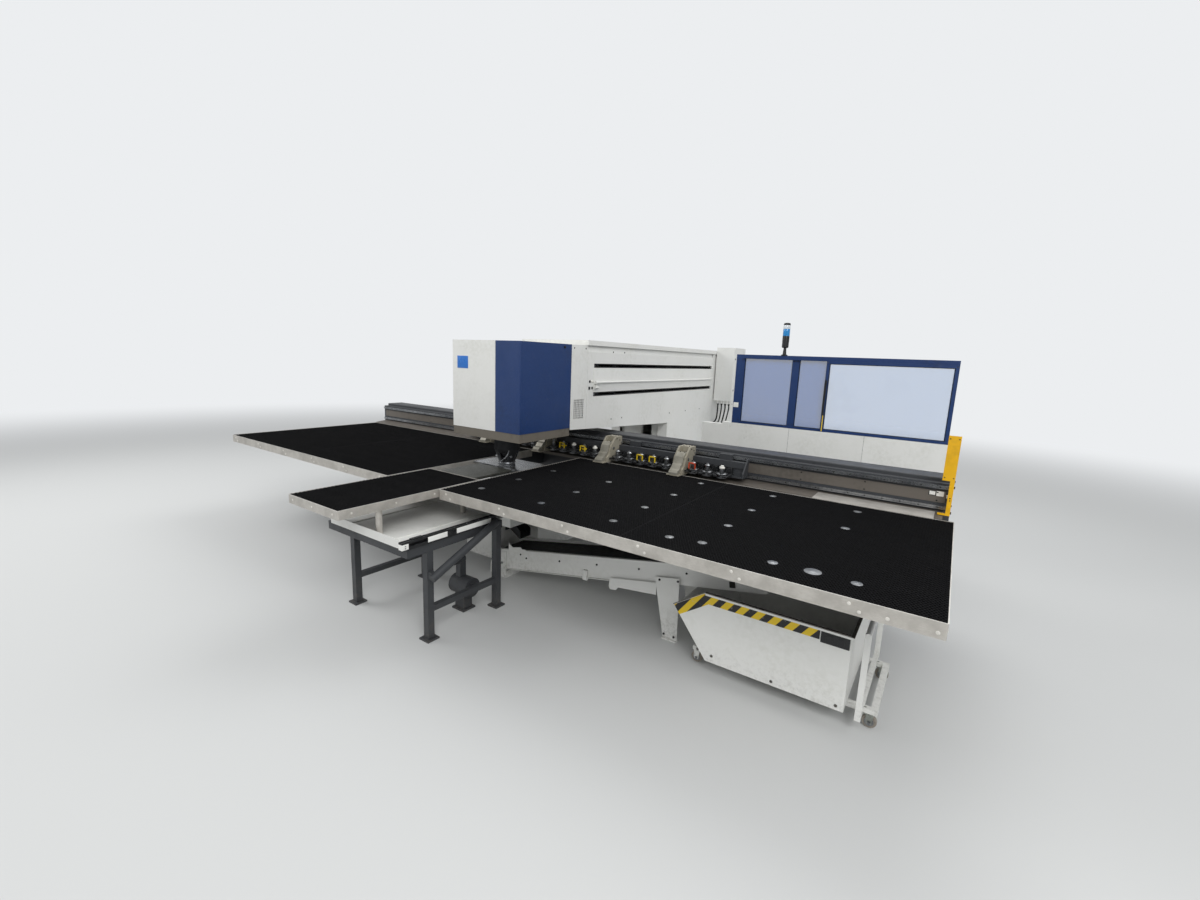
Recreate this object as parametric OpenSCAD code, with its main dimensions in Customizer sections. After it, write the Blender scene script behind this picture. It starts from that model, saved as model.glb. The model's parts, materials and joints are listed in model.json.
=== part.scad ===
// CNC punching machine: a C-frame with one punching head, a cross beam that carries both brush tables and a
// linear tool magazine, a parts chute, a scrap conveyor with its bin, and a guard behind.
// Millimetres. X runs right, Y to the back, Z up. The origin is on the floor below the punching axis.

/* [Brush tables] */
// Height of the sheet plane above the floor
table_z = 950; // [930:5:980]
// Length of the right table wing along X
right_wing_l = 3150; // [2900:50:3200]
// Length of the left table wing along X
left_wing_l = 2890; // [2600:50:3100]
// Depth of both wings along Y
wing_d = 1740; // [1500:20:1800]
// Rear edge of the wings, behind the punching axis
wing_rear_y = 710; // [690:5:715]
// Height of the edge trim
trim_h = 75; // [70:1:78]
// Thickness of the trim sheet
trim_t = 4; // [3:0.5:8]
// Thickness of the brush panels
brush_t = 20; // [12:1:24]
// Half width of the fixed middle table
mid_half_w = 310; // [290:5:312]
// Depth of the fixed middle table along Y
mid_d = 1170; // [900:10:1300]

/* [C-frame] */
// Width of the C-frame across its side plates
c_w = 560; // [520:10:600]
// Thickness of the C-frame's plates
c_plate = 45; // [30:1:60]
// Top of the upper arm
c_top_z = 2000; // [1980:10:2040]
// Underside of the upper arm
upper_z = 1290; // [1285:1:1300]
// Top of the lower arm
lower_z = 640; // [620:2:650]
// Underside of the C-frame, where the levelling feet screw in
base_z = 100; // [80:2:110]
// Front face of the column, at the back of the throat
column_y = 2450; // [2440:10:2600]
// Rear face of the C-frame
rear_y = 4700; // [4500:20:5000]
// Corner radius at the back of the throat
throat_r = 120; // [60:5:160]

/* [Head] */
// Half width of the covers round the head and the arm
cover_half_w = 415; // [380:5:430]
// Front face of the head covers
head_front_y = -280; // [-330:5:-270]
// Top of the head covers and of the arm's side covers
cover_top_z = 2060; // [2050:5:2090]
// Thickness of the cover sheet
sheet_t = 3; // [2:0.5:5]
// Where the blue cover starts on the head's front
blue_x = 130; // [60:5:200]
// Rear end of the blue cover on the right side
blue_back_y = 400; // [380:5:420]
// Depth of the apron below the covers
apron_h = 75; // [50:5:80]
// Slope of the arm covers' lower edge
arm_slope = 2.7; // [1:0.1:2.8]

/* [Punching tools] */
// Radius of the ram
ram_r = 70; // [60:1:80]
// Radius of the rotary die holder
die_r = 75; // [60:1:80]
// Outer radius of the stripper housing
stripper_r = 118; // [112:1:120]
// Running clearance of round fits, on the radius
fit = 0.05; // [0.02:0.01:0.1]

/* [Cross beam] */
// Front face of the beam
beam_y = 1000; // [1000:1:1004]
// Depth of the beam
beam_d = 290; // [240:5:292]
// Underside of the beam
beam_z = 720; // [712:1:730]
// Top of the beam under its dark cap
beam_top_z = 1150; // [1145:1:1155]

/* [Tool magazine] */
// Distance between neighbouring clamps
bay = 800; // [790:5:830]
// Distance between neighbouring tool stations
pitch = 133; // [126:1:134]
// Radius of a tool cartridge's flange
tool_r = 44; // [36:1:46]
// Width of a clamp
clamp_w = 120; // [100:2:124]

/* [Scrap conveyor and bin] */
// Slope of the conveyor
conv_angle = 10.4; // [9.6:0.1:10.8]
// Inner width between the conveyor's side plates
conv_w = 372; // [340:4:380]
// Height of the side plates, square to the belt
conv_h = 150; // [140:2:156]
// Radius of the conveyor drums
drum_r = 45; // [38:1:48]
// Length of the bin at its rim, from its apex to its right end
bin_l = 825; // [700:5:850]
// Height of the bin's rim above the floor
bin_rim_z = 555; // [530:5:570]
// Radius of the bin's wheels
wheel_r = 38; // [34:1:40]

/* [Guard] */
// Width of the blue guard frame
guard_w = 2150; // [2000:10:2200]
// Top of the guard frame
guard_top_z = 2050; // [1900:10:2200]
// Top of the white skirt
skirt_top_z = 1260; // [1240:5:1300]

/* [Hidden] */

WHITE = "#e9e9e6";
BLUE = "#1d3f74";
STEEL = "#9a9c9e";
DARK = "#35373a";
BLACK = "#151617";
BROWN = "#6f6a62";
YELLOW = "#f2c200";

// Running gap between flat sliding faces and beside moving pieces
slide_gap = 0.3;
// Travel of the cross beam, to the front and to the back
y_travel = [-600, 920];

// Fixed middle table and wings
wing_x = mid_half_w + 10;
wing_front_y = wing_rear_y - wing_d;
trim_z = table_z - trim_h;
brush_z = table_z - 5;
mid_rear_y = -620;
mid_front_y = mid_rear_y - mid_d;
rib_z = brush_z - brush_t;

// C-frame
head_back_y = 200;
nose_y = -240;
nose_solid_y = 245;
recess_x = 60;
recess_back_y = 130;
recess_top_z = 440;
slug_pipe_r = 34;
cover_in = cover_half_w - sheet_t;
arm_front_y = 655;
groove_front_y = 760;
groove_back_y = 3700;

// Head and punching tools
apron_z = upper_z - apron_h;
ram_z = 1130;
ram_top_z = 1780;
shank_r = 45;
collar_r = 64;
pin_r = 12;
pin_ring_r = 95;
die_z = table_z - 80;
die_hole_r = 22;
flange_top_z = table_z - 15;
die_table_y = 215;
hinge_y = -152;
hinge_z = table_z - 35;
hinge_r = 8;

// Cross beam: it ends just short of the right wing, beyond the end of the strip behind that wing
beam_half_l = wing_x + right_wing_l - 30;
strip_l = 800;
strip_end_x = beam_half_l - 90;
beam_back_y = beam_y + beam_d;
cap_h = 30;
rail_d = 28;
rail_h = 24;
rail_z_high = table_z + 162;
rail_z_low = table_z + 14;
saddle_w = 540;
saddle_y = [750, 1350];
y_rail_x = 235;
y_rail_top_z = lower_z + 36;
screw_r = 15;
screw_z = lower_z + 23;
bearing_y = [108, column_y - 150];
bearing_l = 38;

// Tool magazine on the moving cross rail
clamp_x = [-1000, -200, -200 + bay, -200 + 2 * bay];
first_station = clamp_w / 2 + pitch / 2;
rail_past_clamp = 550;
end_stations = floor((rail_past_clamp - clamp_w / 2) / pitch);
stations = concat(
    [for (i = [0:1]) clamp_x[0] - first_station - 45 - pitch * (1 - i)],
    [for (c = [0:2]) for (i = [1:floor((clamp_x[c + 1] - clamp_x[c] - clamp_w) / pitch)])
        clamp_x[c] + clamp_w / 2 + pitch * (i - 0.5)],
    [for (i = [0:end_stations - 1]) clamp_x[3] + first_station + pitch * i]);
cross_rail_x = [clamp_x[0] - 440, clamp_x[3] + rail_past_clamp];
tool_y = 770;
cassette_z = table_z + 35;
cassette_t = 12;
jaw_pivot = [800, table_z + 130];

// Conveyor frame of reference: the lower front corner of its side plates, along the belt and square to it
conv_x = 270;
conv_z = 107;
conv_y = -300;
side_t = 4;
conv_s = [-150, 2330];
drum_s = [-90, 2268];
drum_h = 75;
shaft_r = 12;
belt_t = 5;

// Bin
bin_x = [2265, 2265 + bin_l];
bin_y = [-580, 240];
bin_z = 110;
bin_t = 4;
bin_bar_z = 84;
wheel_w = 30;
axle_r = 6;
king_r = 8;
fixed_wheel_x = 2187;
swivel_x = 3181;
trail = 28;
caster_y = [-445, 105];

// Guard
guard_x = 1210;
guard_y = 2500;
guard_z = 1240;
stile = 40;
wide_stile = 100;
mullion_x = [1844, 1917];
door_x = 2205;
skirt_x = [860, guard_x + guard_w + 40];
skirt_y = 2460;
leg_x = [930, 2080, guard_x + guard_w - 60];

// Box between its low corner and its high corner
module block(lo, hi) {
    translate(lo) cube([hi[0] - lo[0], hi[1] - lo[1], hi[2] - lo[2]]);
}

// Outline in Y and Z, extruded along X from x0
module side_extrude(x0, w) {
    translate([x0, 0, 0]) rotate([90, 0, 90]) linear_extrude(w) children();
}

// Outline in X and Z, extruded along Y from y0
module front_extrude(y0, d) {
    translate([0, y0 + d, 0]) rotate([90, 0, 0]) linear_extrude(d) children();
}

// Lying rod along X
module rod_x(at, r, l) {
    translate(at) rotate([0, 90, 0]) cylinder(r = r, h = l, $fn = 48);
}

// Lying rod along Y
module rod_y(at, r, l) {
    translate(at) rotate([-90, 0, 0]) cylinder(r = r, h = l, $fn = 48);
}

// Upright rod
module rod_z(at, r, l) {
    translate(at) cylinder(r = r, h = l, $fn = 48);
}

// Rectangle between two corners, with round corners of radius r
module rounded(lo, hi, r) {
    translate([lo[0] + r, lo[1]]) square([hi[0] - lo[0] - 2 * r, hi[1] - lo[1]]);
    translate([lo[0], lo[1] + r]) square([hi[0] - lo[0], hi[1] - lo[1] - 2 * r]);
    for (x = [lo[0] + r, hi[0] - r], y = [lo[1] + r, hi[1] - r]) {
        translate([x, y]) circle(r = r, $fn = 32);
    }
}

// Ring of sheet t thick between two corners
module sheet_ring(lo, hi, r, t) {
    difference() {
        rounded(lo, hi, r);
        rounded([lo[0] + t, lo[1] + t], [hi[0] - t, hi[1] - t], max(r - t, 0.5));
    }
}

// Throat of the C, grown by an inset, with round corners at its back
module throat(inset) {
    r = throat_r + inset;
    z0 = lower_z - inset;
    z1 = upper_z + inset;
    back = column_y + inset;
    translate([nose_y - 1, z0]) square([back - r - nose_y + 1, z1 - z0]);
    translate([back - r - 1, z0 + r]) square([r + 1, z1 - z0 - 2 * r]);
    for (z = [z0 + r, z1 - r]) translate([back - r, z]) circle(r = r, $fn = 64);
}

// Side outline of the C-frame, shrunk by an inset and starting at y0
module c_outline(inset, y0) {
    difference() {
        translate([y0, base_z + inset]) square([rear_y - inset - y0, c_top_z - base_z - 2 * inset]);
        throat(inset);
        translate([nose_y - 1, upper_z]) square([head_back_y + inset - nose_y + 1, c_top_z - upper_z + 1]);
    }
}

// Stand-off bars on the C-frame's sides that carry the covers
module cover_standoffs() {
    bar = 40;
    places = [[270, 1400], [270, 1950], [760, 1400], [760, 1960], [2200, 1400], [2200, 1960], [2560, 400],
        [3640, 1960], [4600, 400], [4600, 1900]];
    for (s = [-1, 1], p = places) {
        x = s > 0 ? c_w / 2 - 1 : -cover_in;
        block([x, p[0], p[1] - bar], [x + cover_in - c_w / 2 + 1, p[0] + bar, p[1]]);
    }
    for (s = [-1, 1]) {
        block([s * 200 - 15, arm_front_y + 40, c_top_z - 1],
            [s * 200 + 15, rear_y - 60, cover_top_z + 50 - sheet_t]);
    }
}

module c_frame() {
    color(WHITE) {
        difference() {
            side_extrude(-c_w / 2, c_w) c_outline(0, nose_y);
            side_extrude(-c_w / 2 + c_plate, c_w - 2 * c_plate) c_outline(c_plate, nose_solid_y);
            // Recess for the conveyor's low end, and the slanted way of the slugs into it
            block([recess_x, nose_y - 1, base_z - 1], [c_w / 2 + 1, recess_back_y, recess_top_z]);
            front_extrude(-slug_pipe_r, 2 * slug_pipe_r)
                polygon([[-slug_pipe_r, lower_z + 1], [slug_pipe_r, lower_z + 1], [slug_pipe_r, lower_z - 110],
                    [recess_x + 1, lower_z - 140], [recess_x + 1, 410], [-slug_pipe_r, lower_z - 125]]);
            // Service openings in the column's front and rear walls
            block([20, column_y - 1, table_z + 10], [170, column_y + c_plate + 1, table_z + 180]);
            block([-62, column_y - throat_r - 1, lower_z],
                [62, column_y + c_plate + throat_r, lower_z + 125]);
            block([-150, rear_y - c_plate - 1, 300], [150, rear_y + 1, 1700]);
        }
        cover_standoffs();
    }
}

module levelling_feet() {
    color(STEEL) {
        for (p = [[0, 0, 52], [-210, 1500, 80], [210, 1500, 80], [-210, 2900, 80], [210, 2900, 80],
            [-210, 4500, 80], [210, 4500, 80]]) {
            translate([p[0], p[1], 0]) rotate_extrude($fn = 48)
                polygon([[0, 0], [p[2], 0], [p[2], 22], [p[2] - 14, 34], [30, 40], [30, base_z],
                    [0, base_z]]);
        }
    }
}

module head_block() {
    color(STEEL) difference() {
        union() {
            translate([0, 0, upper_z]) linear_extrude(610) {
                circle(r = 165, $fn = 96);
                translate([-165, 0]) square([330, head_back_y]);
                translate([-240, head_back_y - 40]) square([480, 40]);
            }
            rod_z([0, 0, upper_z + 609], 130, 90);
            // Lugs that carry the front covers
            for (x = [-140, blue_x + 20], z = [1420, 1800]) {
                block([x, head_front_y + sheet_t, z], [x + 30, 20, z + 40]);
            }
        }
        rod_z([0, 0, upper_z - 1], ram_r + fit, 560);
        for (a = [45:90:315]) {
            rotate([0, 0, a]) rod_z([pin_ring_r + 20, 0, upper_z - 1], pin_r + fit, 150);
        }
    }
}

// Side outline of an arm cover, shrunk by an inset: sloped lower edge, round throat corner, column
module arm_cover_outline(y0, inset) {
    corner_r = 100;
    front_y = column_y - 50 + inset;
    drop = tan(arm_slope);
    z_front = upper_z - 20 + inset;
    z_corner = z_front - drop * (front_y - corner_r - blue_back_y);
    top = cover_top_z - inset;
    back = rear_y - inset;
    difference() {
        polygon([[y0, z_front - drop * (y0 - blue_back_y)], [front_y - corner_r, z_corner],
            [front_y, z_corner], [front_y, 150 + inset], [back, 150 + inset], [back, top], [y0, top]]);
        difference() {
            translate([front_y - corner_r - 1, z_corner - corner_r]) square([corner_r + 1, corner_r]);
            translate([front_y - corner_r, z_corner - corner_r]) circle(r = corner_r, $fn = 64);
        }
    }
}

// Height of the two grooves along the arm
GROOVES = [[1570, 1612], [1850, 1892]];

// Section of the ridge between the grooves
module ridge_section() {
    t = sheet_t;
    o = cover_half_w;
    polygon([[o, GROOVES[1][0]], [o + 8, 1725], [o + 8, 1700], [o, GROOVES[0][1]], [o - t, GROOVES[0][1]],
        [o + 8 - t, 1700], [o + 8 - t, 1725], [o - t, GROOVES[1][0]]]);
}

// Section of the plain side sheet in front of the grooves
module plain_section() {
    t = sheet_t;
    o = cover_half_w;
    polygon([[o - t, 100], [o, 100], [o, cover_top_z - 60], [o - 14, cover_top_z], [o - 14 - t, cover_top_z],
        [o - t, cover_top_z - 60]]);
}

// Section of the grooved side sheet, in X and Z, between the heights of the whole cover
module grooved_section() {
    t = sheet_t;
    o = cover_half_w;
    depth = 27;
    translate([o - t, 100]) square([t, GROOVES[0][0] - 100]);
    for (g = GROOVES) {
        translate([o - depth - t, g[0] - t]) square([t, g[1] - g[0] + 2 * t]);
        translate([o - depth - t, g[0] - t]) square([depth + t, t]);
        translate([o - depth - t, g[1]]) square([depth + t, t]);
    }
    ridge_section();
    polygon([[o, GROOVES[1][1]], [o, cover_top_z - 60], [o - 14, cover_top_z], [o - 14 - t, cover_top_z],
        [o - t, cover_top_z - 60], [o - t, GROOVES[1][1]]]);
}

// Folded side cover of the arm and column: grooved sheet, flat rear part and a return flange all round
module arm_cover() {
    seam = 2;
    y0 = arm_front_y + seam;
    intersection() {
        union() {
            front_extrude(y0, groove_front_y + 1 - y0) plain_section();
            front_extrude(groove_front_y, groove_back_y - groove_front_y) grooved_section();
            block([cover_in, groove_back_y, 100], [cover_half_w, rear_y, cover_top_z]);
            front_extrude(groove_front_y, sheet_t)
                polygon([[cover_in, 1600], [cover_half_w, 1612], [cover_half_w + 8, 1700],
                    [cover_half_w + 8, 1725], [cover_half_w, 1850], [cover_in, 1860]]);
            for (g = GROOVES, y = [groove_front_y, groove_back_y - sheet_t]) {
                block([cover_in - 27, y, g[0]], [cover_half_w, y + sheet_t, g[1]]);
            }
        }
        side_extrude(cover_in - 40, 60) arm_cover_outline(y0, 0);
    }
    side_extrude(c_w / 2 + 3, cover_in - c_w / 2 - 3) difference() {
        arm_cover_outline(y0, 0);
        arm_cover_outline(y0 - 1, sheet_t);
    }
}

// Front side panel of the arm between the head cover and the long cover, with its square perforations
module vent_panel() {
    hole = 15;
    step = 23;
    difference() {
        side_extrude(cover_in, sheet_t) intersection() {
            arm_cover_outline(blue_back_y + 2, 0);
            translate([blue_back_y + 2, 1000]) square([arm_front_y - blue_back_y - 2, 1200]);
        }
        for (i = [0:6], j = [0:8]) {
            translate([cover_in - 1, blue_back_y + 52 + step * i, 1368 + 21 * j])
                cube([sheet_t + 2, hole, hole]);
        }
    }
    block([cover_in - 60, blue_back_y + 4, 1300], [cover_in, blue_back_y + 4 + sheet_t, cover_top_z - 20]);
    // Straps behind the seam to the long cover
    for (z = [[upper_z + 10, GROOVES[0][0] - 20], [GROOVES[1][1] + 10, cover_top_z - 70]]) {
        block([cover_in - sheet_t, arm_front_y - 18, z[0]], [cover_in + 0.5, arm_front_y + 18, z[1]]);
    }
}

module arm_cover_right() {
    color(WHITE) {
        arm_cover();
        vent_panel();
    }
    side_tube();
}

module arm_cover_left() {
    color(WHITE) mirror([1, 0, 0]) arm_cover();
}

module arm_top_cover() {
    w = cover_half_w + 15;
    lip = 48;
    z = cover_top_z + 50;
    color(WHITE) {
        front_extrude(arm_front_y - 10, rear_y - arm_front_y + 13) {
            translate([-w, z - sheet_t]) square([2 * w, sheet_t]);
            for (x = [-w, w - sheet_t]) translate([x, z - lip]) square([sheet_t, lip]);
        }
        block([-w, arm_front_y - 10, z - lip], [w, arm_front_y - 10 + sheet_t, z]);
    }
}

// Outline of the bent head covers seen from above
module head_ring() {
    sheet_ring([-cover_half_w, head_front_y], [cover_half_w, rear_y], 10, sheet_t);
}

module head_cover_white() {
    top = cover_top_z;
    color(WHITE) {
        translate([0, 0, upper_z]) linear_extrude(top - upper_z) intersection() {
            head_ring();
            union() {
                translate([-cover_half_w, head_front_y]) square([cover_half_w + blue_x - 2, 20]);
                translate([-cover_half_w, head_front_y]) square([20, arm_front_y - head_front_y]);
            }
        }
        block([-cover_in, head_front_y + 10, top - sheet_t], [cover_in - 1, arm_front_y - 12, top]);
    }
}

module head_cover_blue() {
    color(BLUE) translate([0, 0, upper_z]) linear_extrude(cover_top_z - upper_z) intersection() {
        head_ring();
        translate([blue_x, head_front_y - 1])
            square([cover_half_w - blue_x + 1, blue_back_y - head_front_y + 1]);
    }
}

module head_apron() {
    inner = cover_in - sheet_t;
    front = head_front_y + sheet_t;
    color(BROWN) {
        difference() {
            translate([0, 0, apron_z]) linear_extrude(apron_h + 30)
                sheet_ring([-cover_in, front], [cover_in, blue_back_y], 7, sheet_t);
            block([-c_w / 2 - 1, head_back_y, upper_z], [c_w / 2 + 1, blue_back_y + 1, upper_z + 50]);
        }
        difference() {
            block([-inner, front + sheet_t, apron_z + 18], [inner, blue_back_y - sheet_t, apron_z + 22]);
            rod_z([0, 0, apron_z], stripper_r + 20, 40);
        }
    }
}

// Tube along the arm with its end fittings, carried by the ridge between the grooves
module side_tube() {
    r = 9;
    z = 1708;
    x = cover_half_w + 8 + r + slide_gap;
    color(STEEL) {
        y0 = groove_front_y;
        rod_y([x, y0 + 60, z], r, groove_back_y - y0 - 60);
        rod_y([x + 6, y0 + 5, z], r + 6.5, 56);
        rod_y([x + 6, y0 + 5, z - 50], r + 2, 50);
        block([cover_half_w + 5.5, y0 + 25, z - 55], [x + 5, y0 + 45, z + 5]);
    }
}

module rear_cover() {
    color(WHITE) difference() {
        block([-cover_half_w, rear_y, 150], [cover_half_w, rear_y + sheet_t, cover_top_z]);
        for (row = [0:2], i = [-6:6]) {
            z = 420 + row * 480;
            block([i * 40 - 6, rear_y - 1, z], [i * 40 + 6, rear_y + sheet_t + 1, z + 140]);
        }
    }
}

module rear_box() {
    lo = [cover_half_w + 15 + slide_gap, 3800, 1400];
    hi = [cover_half_w + 285, 4240, 2158];
    color(WHITE) {
        difference() {
            translate([0, 0, lo[2]]) linear_extrude(hi[2] - lo[2])
                rounded([lo[0], lo[1]], [hi[0], hi[1]], 8);
            // Seam of the door on the outer side
            block([hi[0] - 3, lo[1] + 22, lo[2] + 20], [hi[0] + 1, lo[1] + 24, hi[2] - 20]);
            block([hi[0] - 3, hi[1] - 24, lo[2] + 20], [hi[0] + 1, hi[1] - 22, hi[2] - 20]);
        }
        // Spacers on the arm's side cover
        for (y = [lo[1] + 30, hi[1] - 80], z = [1440, 1960]) {
            block([cover_half_w, y, z], [lo[0] + 1, y + 50, z + 50]);
        }
    }
    color(BLACK) for (i = [0:3]) {
        rod_z([lo[0] + 50 + i * 55, lo[1] + 70, lo[2] - 45], 19 - 2 * (i % 2), 46);
    }
}

module die_pedestal() {
    color(STEEL) difference() {
        union() {
            translate([0, 0, lower_z]) linear_extrude(flange_top_z - lower_z)
                rounded([-130, -105], [130, 105], 30);
            translate([0, 0, flange_top_z - 30]) linear_extrude(30) rounded([-215, -125], [215, 130], 12);
            for (x = [-212, 190]) block([x, hinge_y - 14, hinge_z - 14], [x + 22, -120, flange_top_z]);
        }
        rod_z([0, 0, die_z], die_r + fit, 100);
        rod_z([0, 0, lower_z - 1], slug_pipe_r, 300);
        rod_x([-300, hinge_y, hinge_z], hinge_r + fit, 600);
    }
}

module die_table() {
    color(STEEL) difference() {
        translate([0, 0, flange_top_z]) linear_extrude(brush_z - flange_top_z)
            rounded([-mid_half_w, -135], [mid_half_w, die_table_y], 6);
        rod_z([0, 0, flange_top_z - 1], die_r + 5, 20);
    }
}

module die_holder() {
    color(STEEL) difference() {
        rod_z([0, 0, die_z], die_r, table_z - 1 - die_z);
        rod_z([0, 0, die_z - 1], die_hole_r + 12, 60);
        rod_z([0, 0, die_z - 1], die_hole_r, 90);
        for (a = [0:90:270]) rotate([0, 0, a]) rod_z([56, 0, table_z - 8], 6, 10);
    }
}

module chute_flap() {
    color(BROWN) {
        block([-200, mid_rear_y + 20, brush_z - 12], [220, hinge_y - 15, brush_z]);
        for (x = [-180, -10, 160]) {
            block([x, mid_rear_y + 60, hinge_z - 8], [x + 14, hinge_y, brush_z - 11]);
        }
        rod_x([-186, hinge_y, hinge_z], 13, 372);
        rod_x([-211, hinge_y, hinge_z], hinge_r, 422);
    }
}

module ram() {
    color(STEEL) difference() {
        rod_z([0, 0, ram_z], ram_r, ram_top_z - ram_z);
        rod_z([0, 0, ram_z - 1], shank_r + fit, 260);
    }
}

module punch_holder() {
    color(STEEL) difference() {
        translate([0, 0, table_z]) rotate_extrude($fn = 64)
            polygon([[0, 12], [15, 12], [15, 64], [22, 70], [40, 74], [40, 118], [46, 126],
                [collar_r, 126], [collar_r, ram_z - table_z - slide_gap],
                [shank_r, ram_z - table_z - slide_gap], [shank_r, 425], [shank_r - 5, 430], [0, 430]]);
        for (a = [0, 180]) rotate([0, 0, a]) block([30, -9, table_z + 70], [60, 9, table_z + 110]);
    }
}

module stripper() {
    z = table_z;
    r = stripper_r;
    color(DARK) {
        difference() {
            translate([0, 0, z]) rotate_extrude($fn = 64)
                polygon([[26, 7], [r - 48, 7], [r - 44, 24], [r, 140], [r, 262], [collar_r + 8, 262],
                    [collar_r + 8, 252], [r - 10, 244], [r - 10, 144], [r - 52, 24], [26, 24]]);
            for (a = [0:90:270]) rotate([0, 0, a + 20]) block([40, -26, z + 34], [r + 1, 26, z + 110]);
        }
        for (a = [45:90:315]) {
            rotate([0, 0, a]) {
                rod_z([pin_ring_r + 20, 0, z + 240], pin_r, upper_z + 120 - z - 240);
                block([pin_ring_r, -14, z + 240], [pin_ring_r + 34, 14, z + 262]);
            }
        }
    }
}

module y_rails() {
    w = 25;
    color(STEEL) for (s = [-1, 1]) {
        side_rail_x = s * y_rail_x;
        front_extrude(120, column_y - 240) translate([side_rail_x, lower_z])
            polygon([[-w, 0], [w, 0], [w, 10], [w - 8, 16], [w - 8, 22], [w, 28], [w, 36], [-w, 36],
                [-w, 28], [-w + 8, 22], [-w + 8, 16], [-w, 10]]);
    }
}

// Bearing blocks and motor of the screw
module y_drive() {
    journal_r = screw_r - 4;
    color(DARK) difference() {
        union() {
            for (y = bearing_y) block([-45, y, lower_z], [45, y + bearing_l, lower_z + 44]);
            block([-48, bearing_y[1] + bearing_l, lower_z], [48, column_y + 180, lower_z + 96]);
            rod_y([0, column_y + 179, lower_z + 48], 40, 40);
        }
        rod_y([0, bearing_y[0] - 1, screw_z], journal_r + fit, bearing_l + 2);
        rod_y([0, bearing_y[1] - 1, screw_z], journal_r + fit, bearing_l + 30);
    }
}

module y_screw() {
    journal_r = screw_r - 4;
    from = bearing_y[0] + bearing_l + slide_gap;
    to = bearing_y[1] - slide_gap;
    color(STEEL) {
        rod_y([0, from, screw_z], screw_r, to - from);
        rod_y([0, bearing_y[0] + 2, screw_z], journal_r, bearing_y[1] + bearing_l + 20 - bearing_y[0]);
    }
}

// Ring of trim sheet with a foot flange, cross ribs that carry the brush panel, and corner angles
module table_ring(lo, hi, z, rib_xs, rib_ys) {
    translate([0, 0, z]) linear_extrude(table_z - z) sheet_ring(lo, hi, 8, trim_t);
    translate([0, 0, z]) linear_extrude(trim_t) sheet_ring(lo, hi, 8, 34);
    for (x = rib_xs) block([x - 15, lo[1] + 1, z], [x + 15, hi[1] - 1, rib_z]);
    for (y = rib_ys) block([lo[0] + 1, y - 15, z + 10], [hi[0] - 1, y + 15, rib_z]);
}

// Cross ribs that both wings have in the same places
RIB_X = [450, 925, 1400, 1875, 2350];

module table_frames() {
    y0 = wing_front_y;
    y1 = wing_rear_y;
    color(STEEL) {
        table_ring([wing_x, y0], [wing_x + right_wing_l, y1], trim_z,
            concat(RIB_X, [wing_x + right_wing_l - 720, wing_x + right_wing_l - 320]), [-560, 260]);
        table_ring([-wing_x - left_wing_l, y0], [-wing_x, y1], trim_z,
            concat([-wing_x - left_wing_l + 310], -RIB_X), [-560, 260]);
    }
    edge_strip();
}

module brush_tops() {
    inset = trim_t + 1;
    y = [wing_front_y + inset, wing_rear_y - inset];
    color(BLACK) {
        block([wing_x + inset, y[0], rib_z], [wing_x + right_wing_l - inset, y[1], brush_z]);
        block([-wing_x - left_wing_l + inset, y[0], rib_z], [-wing_x - inset, y[1], brush_z]);
    }
}

// White strip behind the right wing, level with its top
module edge_strip() {
    z = table_z - 1;
    y1 = beam_y - 60;
    y0 = wing_rear_y;
    color(WHITE) side_extrude(strip_end_x - strip_l, strip_l)
        polygon([[y0 - 1, z - 45], [y0 - 1, z], [y1, z], [y1, z - 7], [y1 - 4, z - 7], [y1 - 4, z - 4],
            [y0 + 4, z - 4], [y0 + 4, z - 45]]);
}

// Places of the ball units on the right wing
BALLS = concat(
    [for (x = [513, 1105], y = [-790, -390, 55]) [x, y]],
    [for (x = [1700, 2300], y = [-790, -390, 55, 555]) [x, y]],
    [[2900, 63], [2900, 541], [2706, -827], [3102, -829], [2112, -827]]);

module ball_units() {
    color(STEEL) for (p = BALLS) {
        translate([p[0], p[1], brush_z]) rotate_extrude($fn = 24)
            polygon([[0, 0], [26, 0], [26, 1.5], [16, 2.5], [12, 4.2], [6, 4.9], [0, 5]]);
    }
    color(STEEL) translate([2900, -815, brush_z]) rotate_extrude($fn = 24)
        polygon([[0, 0], [42, 0], [42, 1.5], [20, 3], [12, 4.6], [0, 5]]);
}

module table_supports() {
    y0 = wing_front_y;
    color(DARK) for (x = [310 - wing_x - left_wing_l, -2350, -1400, -450, 450, 1400, 2350,
        wing_x + right_wing_l - 320]) {
        side_extrude(x - 40, 80) polygon([[y0 + 160, trim_z], [y0 + 160, trim_z - 30],
            [y0 + 500, trim_z - 70], [500, trim_z - 105], [beam_y, trim_z - 125], [beam_y, trim_z]]);
    }
}

module cross_beam() {
    wall = 12;
    color(DARK) {
        difference() {
            union() {
                block([-beam_half_l, beam_y, beam_z], [beam_half_l, beam_back_y, beam_top_z]);
                side_extrude(-beam_half_l, 2 * beam_half_l)
                    rounded([beam_y + 60, beam_top_z - 12], [beam_back_y, beam_top_z + cap_h], 10);
            }
            block([-beam_half_l + wall, beam_y + wall, beam_z + wall],
                [beam_half_l - wall, beam_back_y - wall, beam_top_z - wall]);
            rod_x([-beam_half_l - 1, beam_y + beam_d / 2, 935], 60, 2 * beam_half_l + 2);
        }
        saddle();
    }
}

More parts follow.
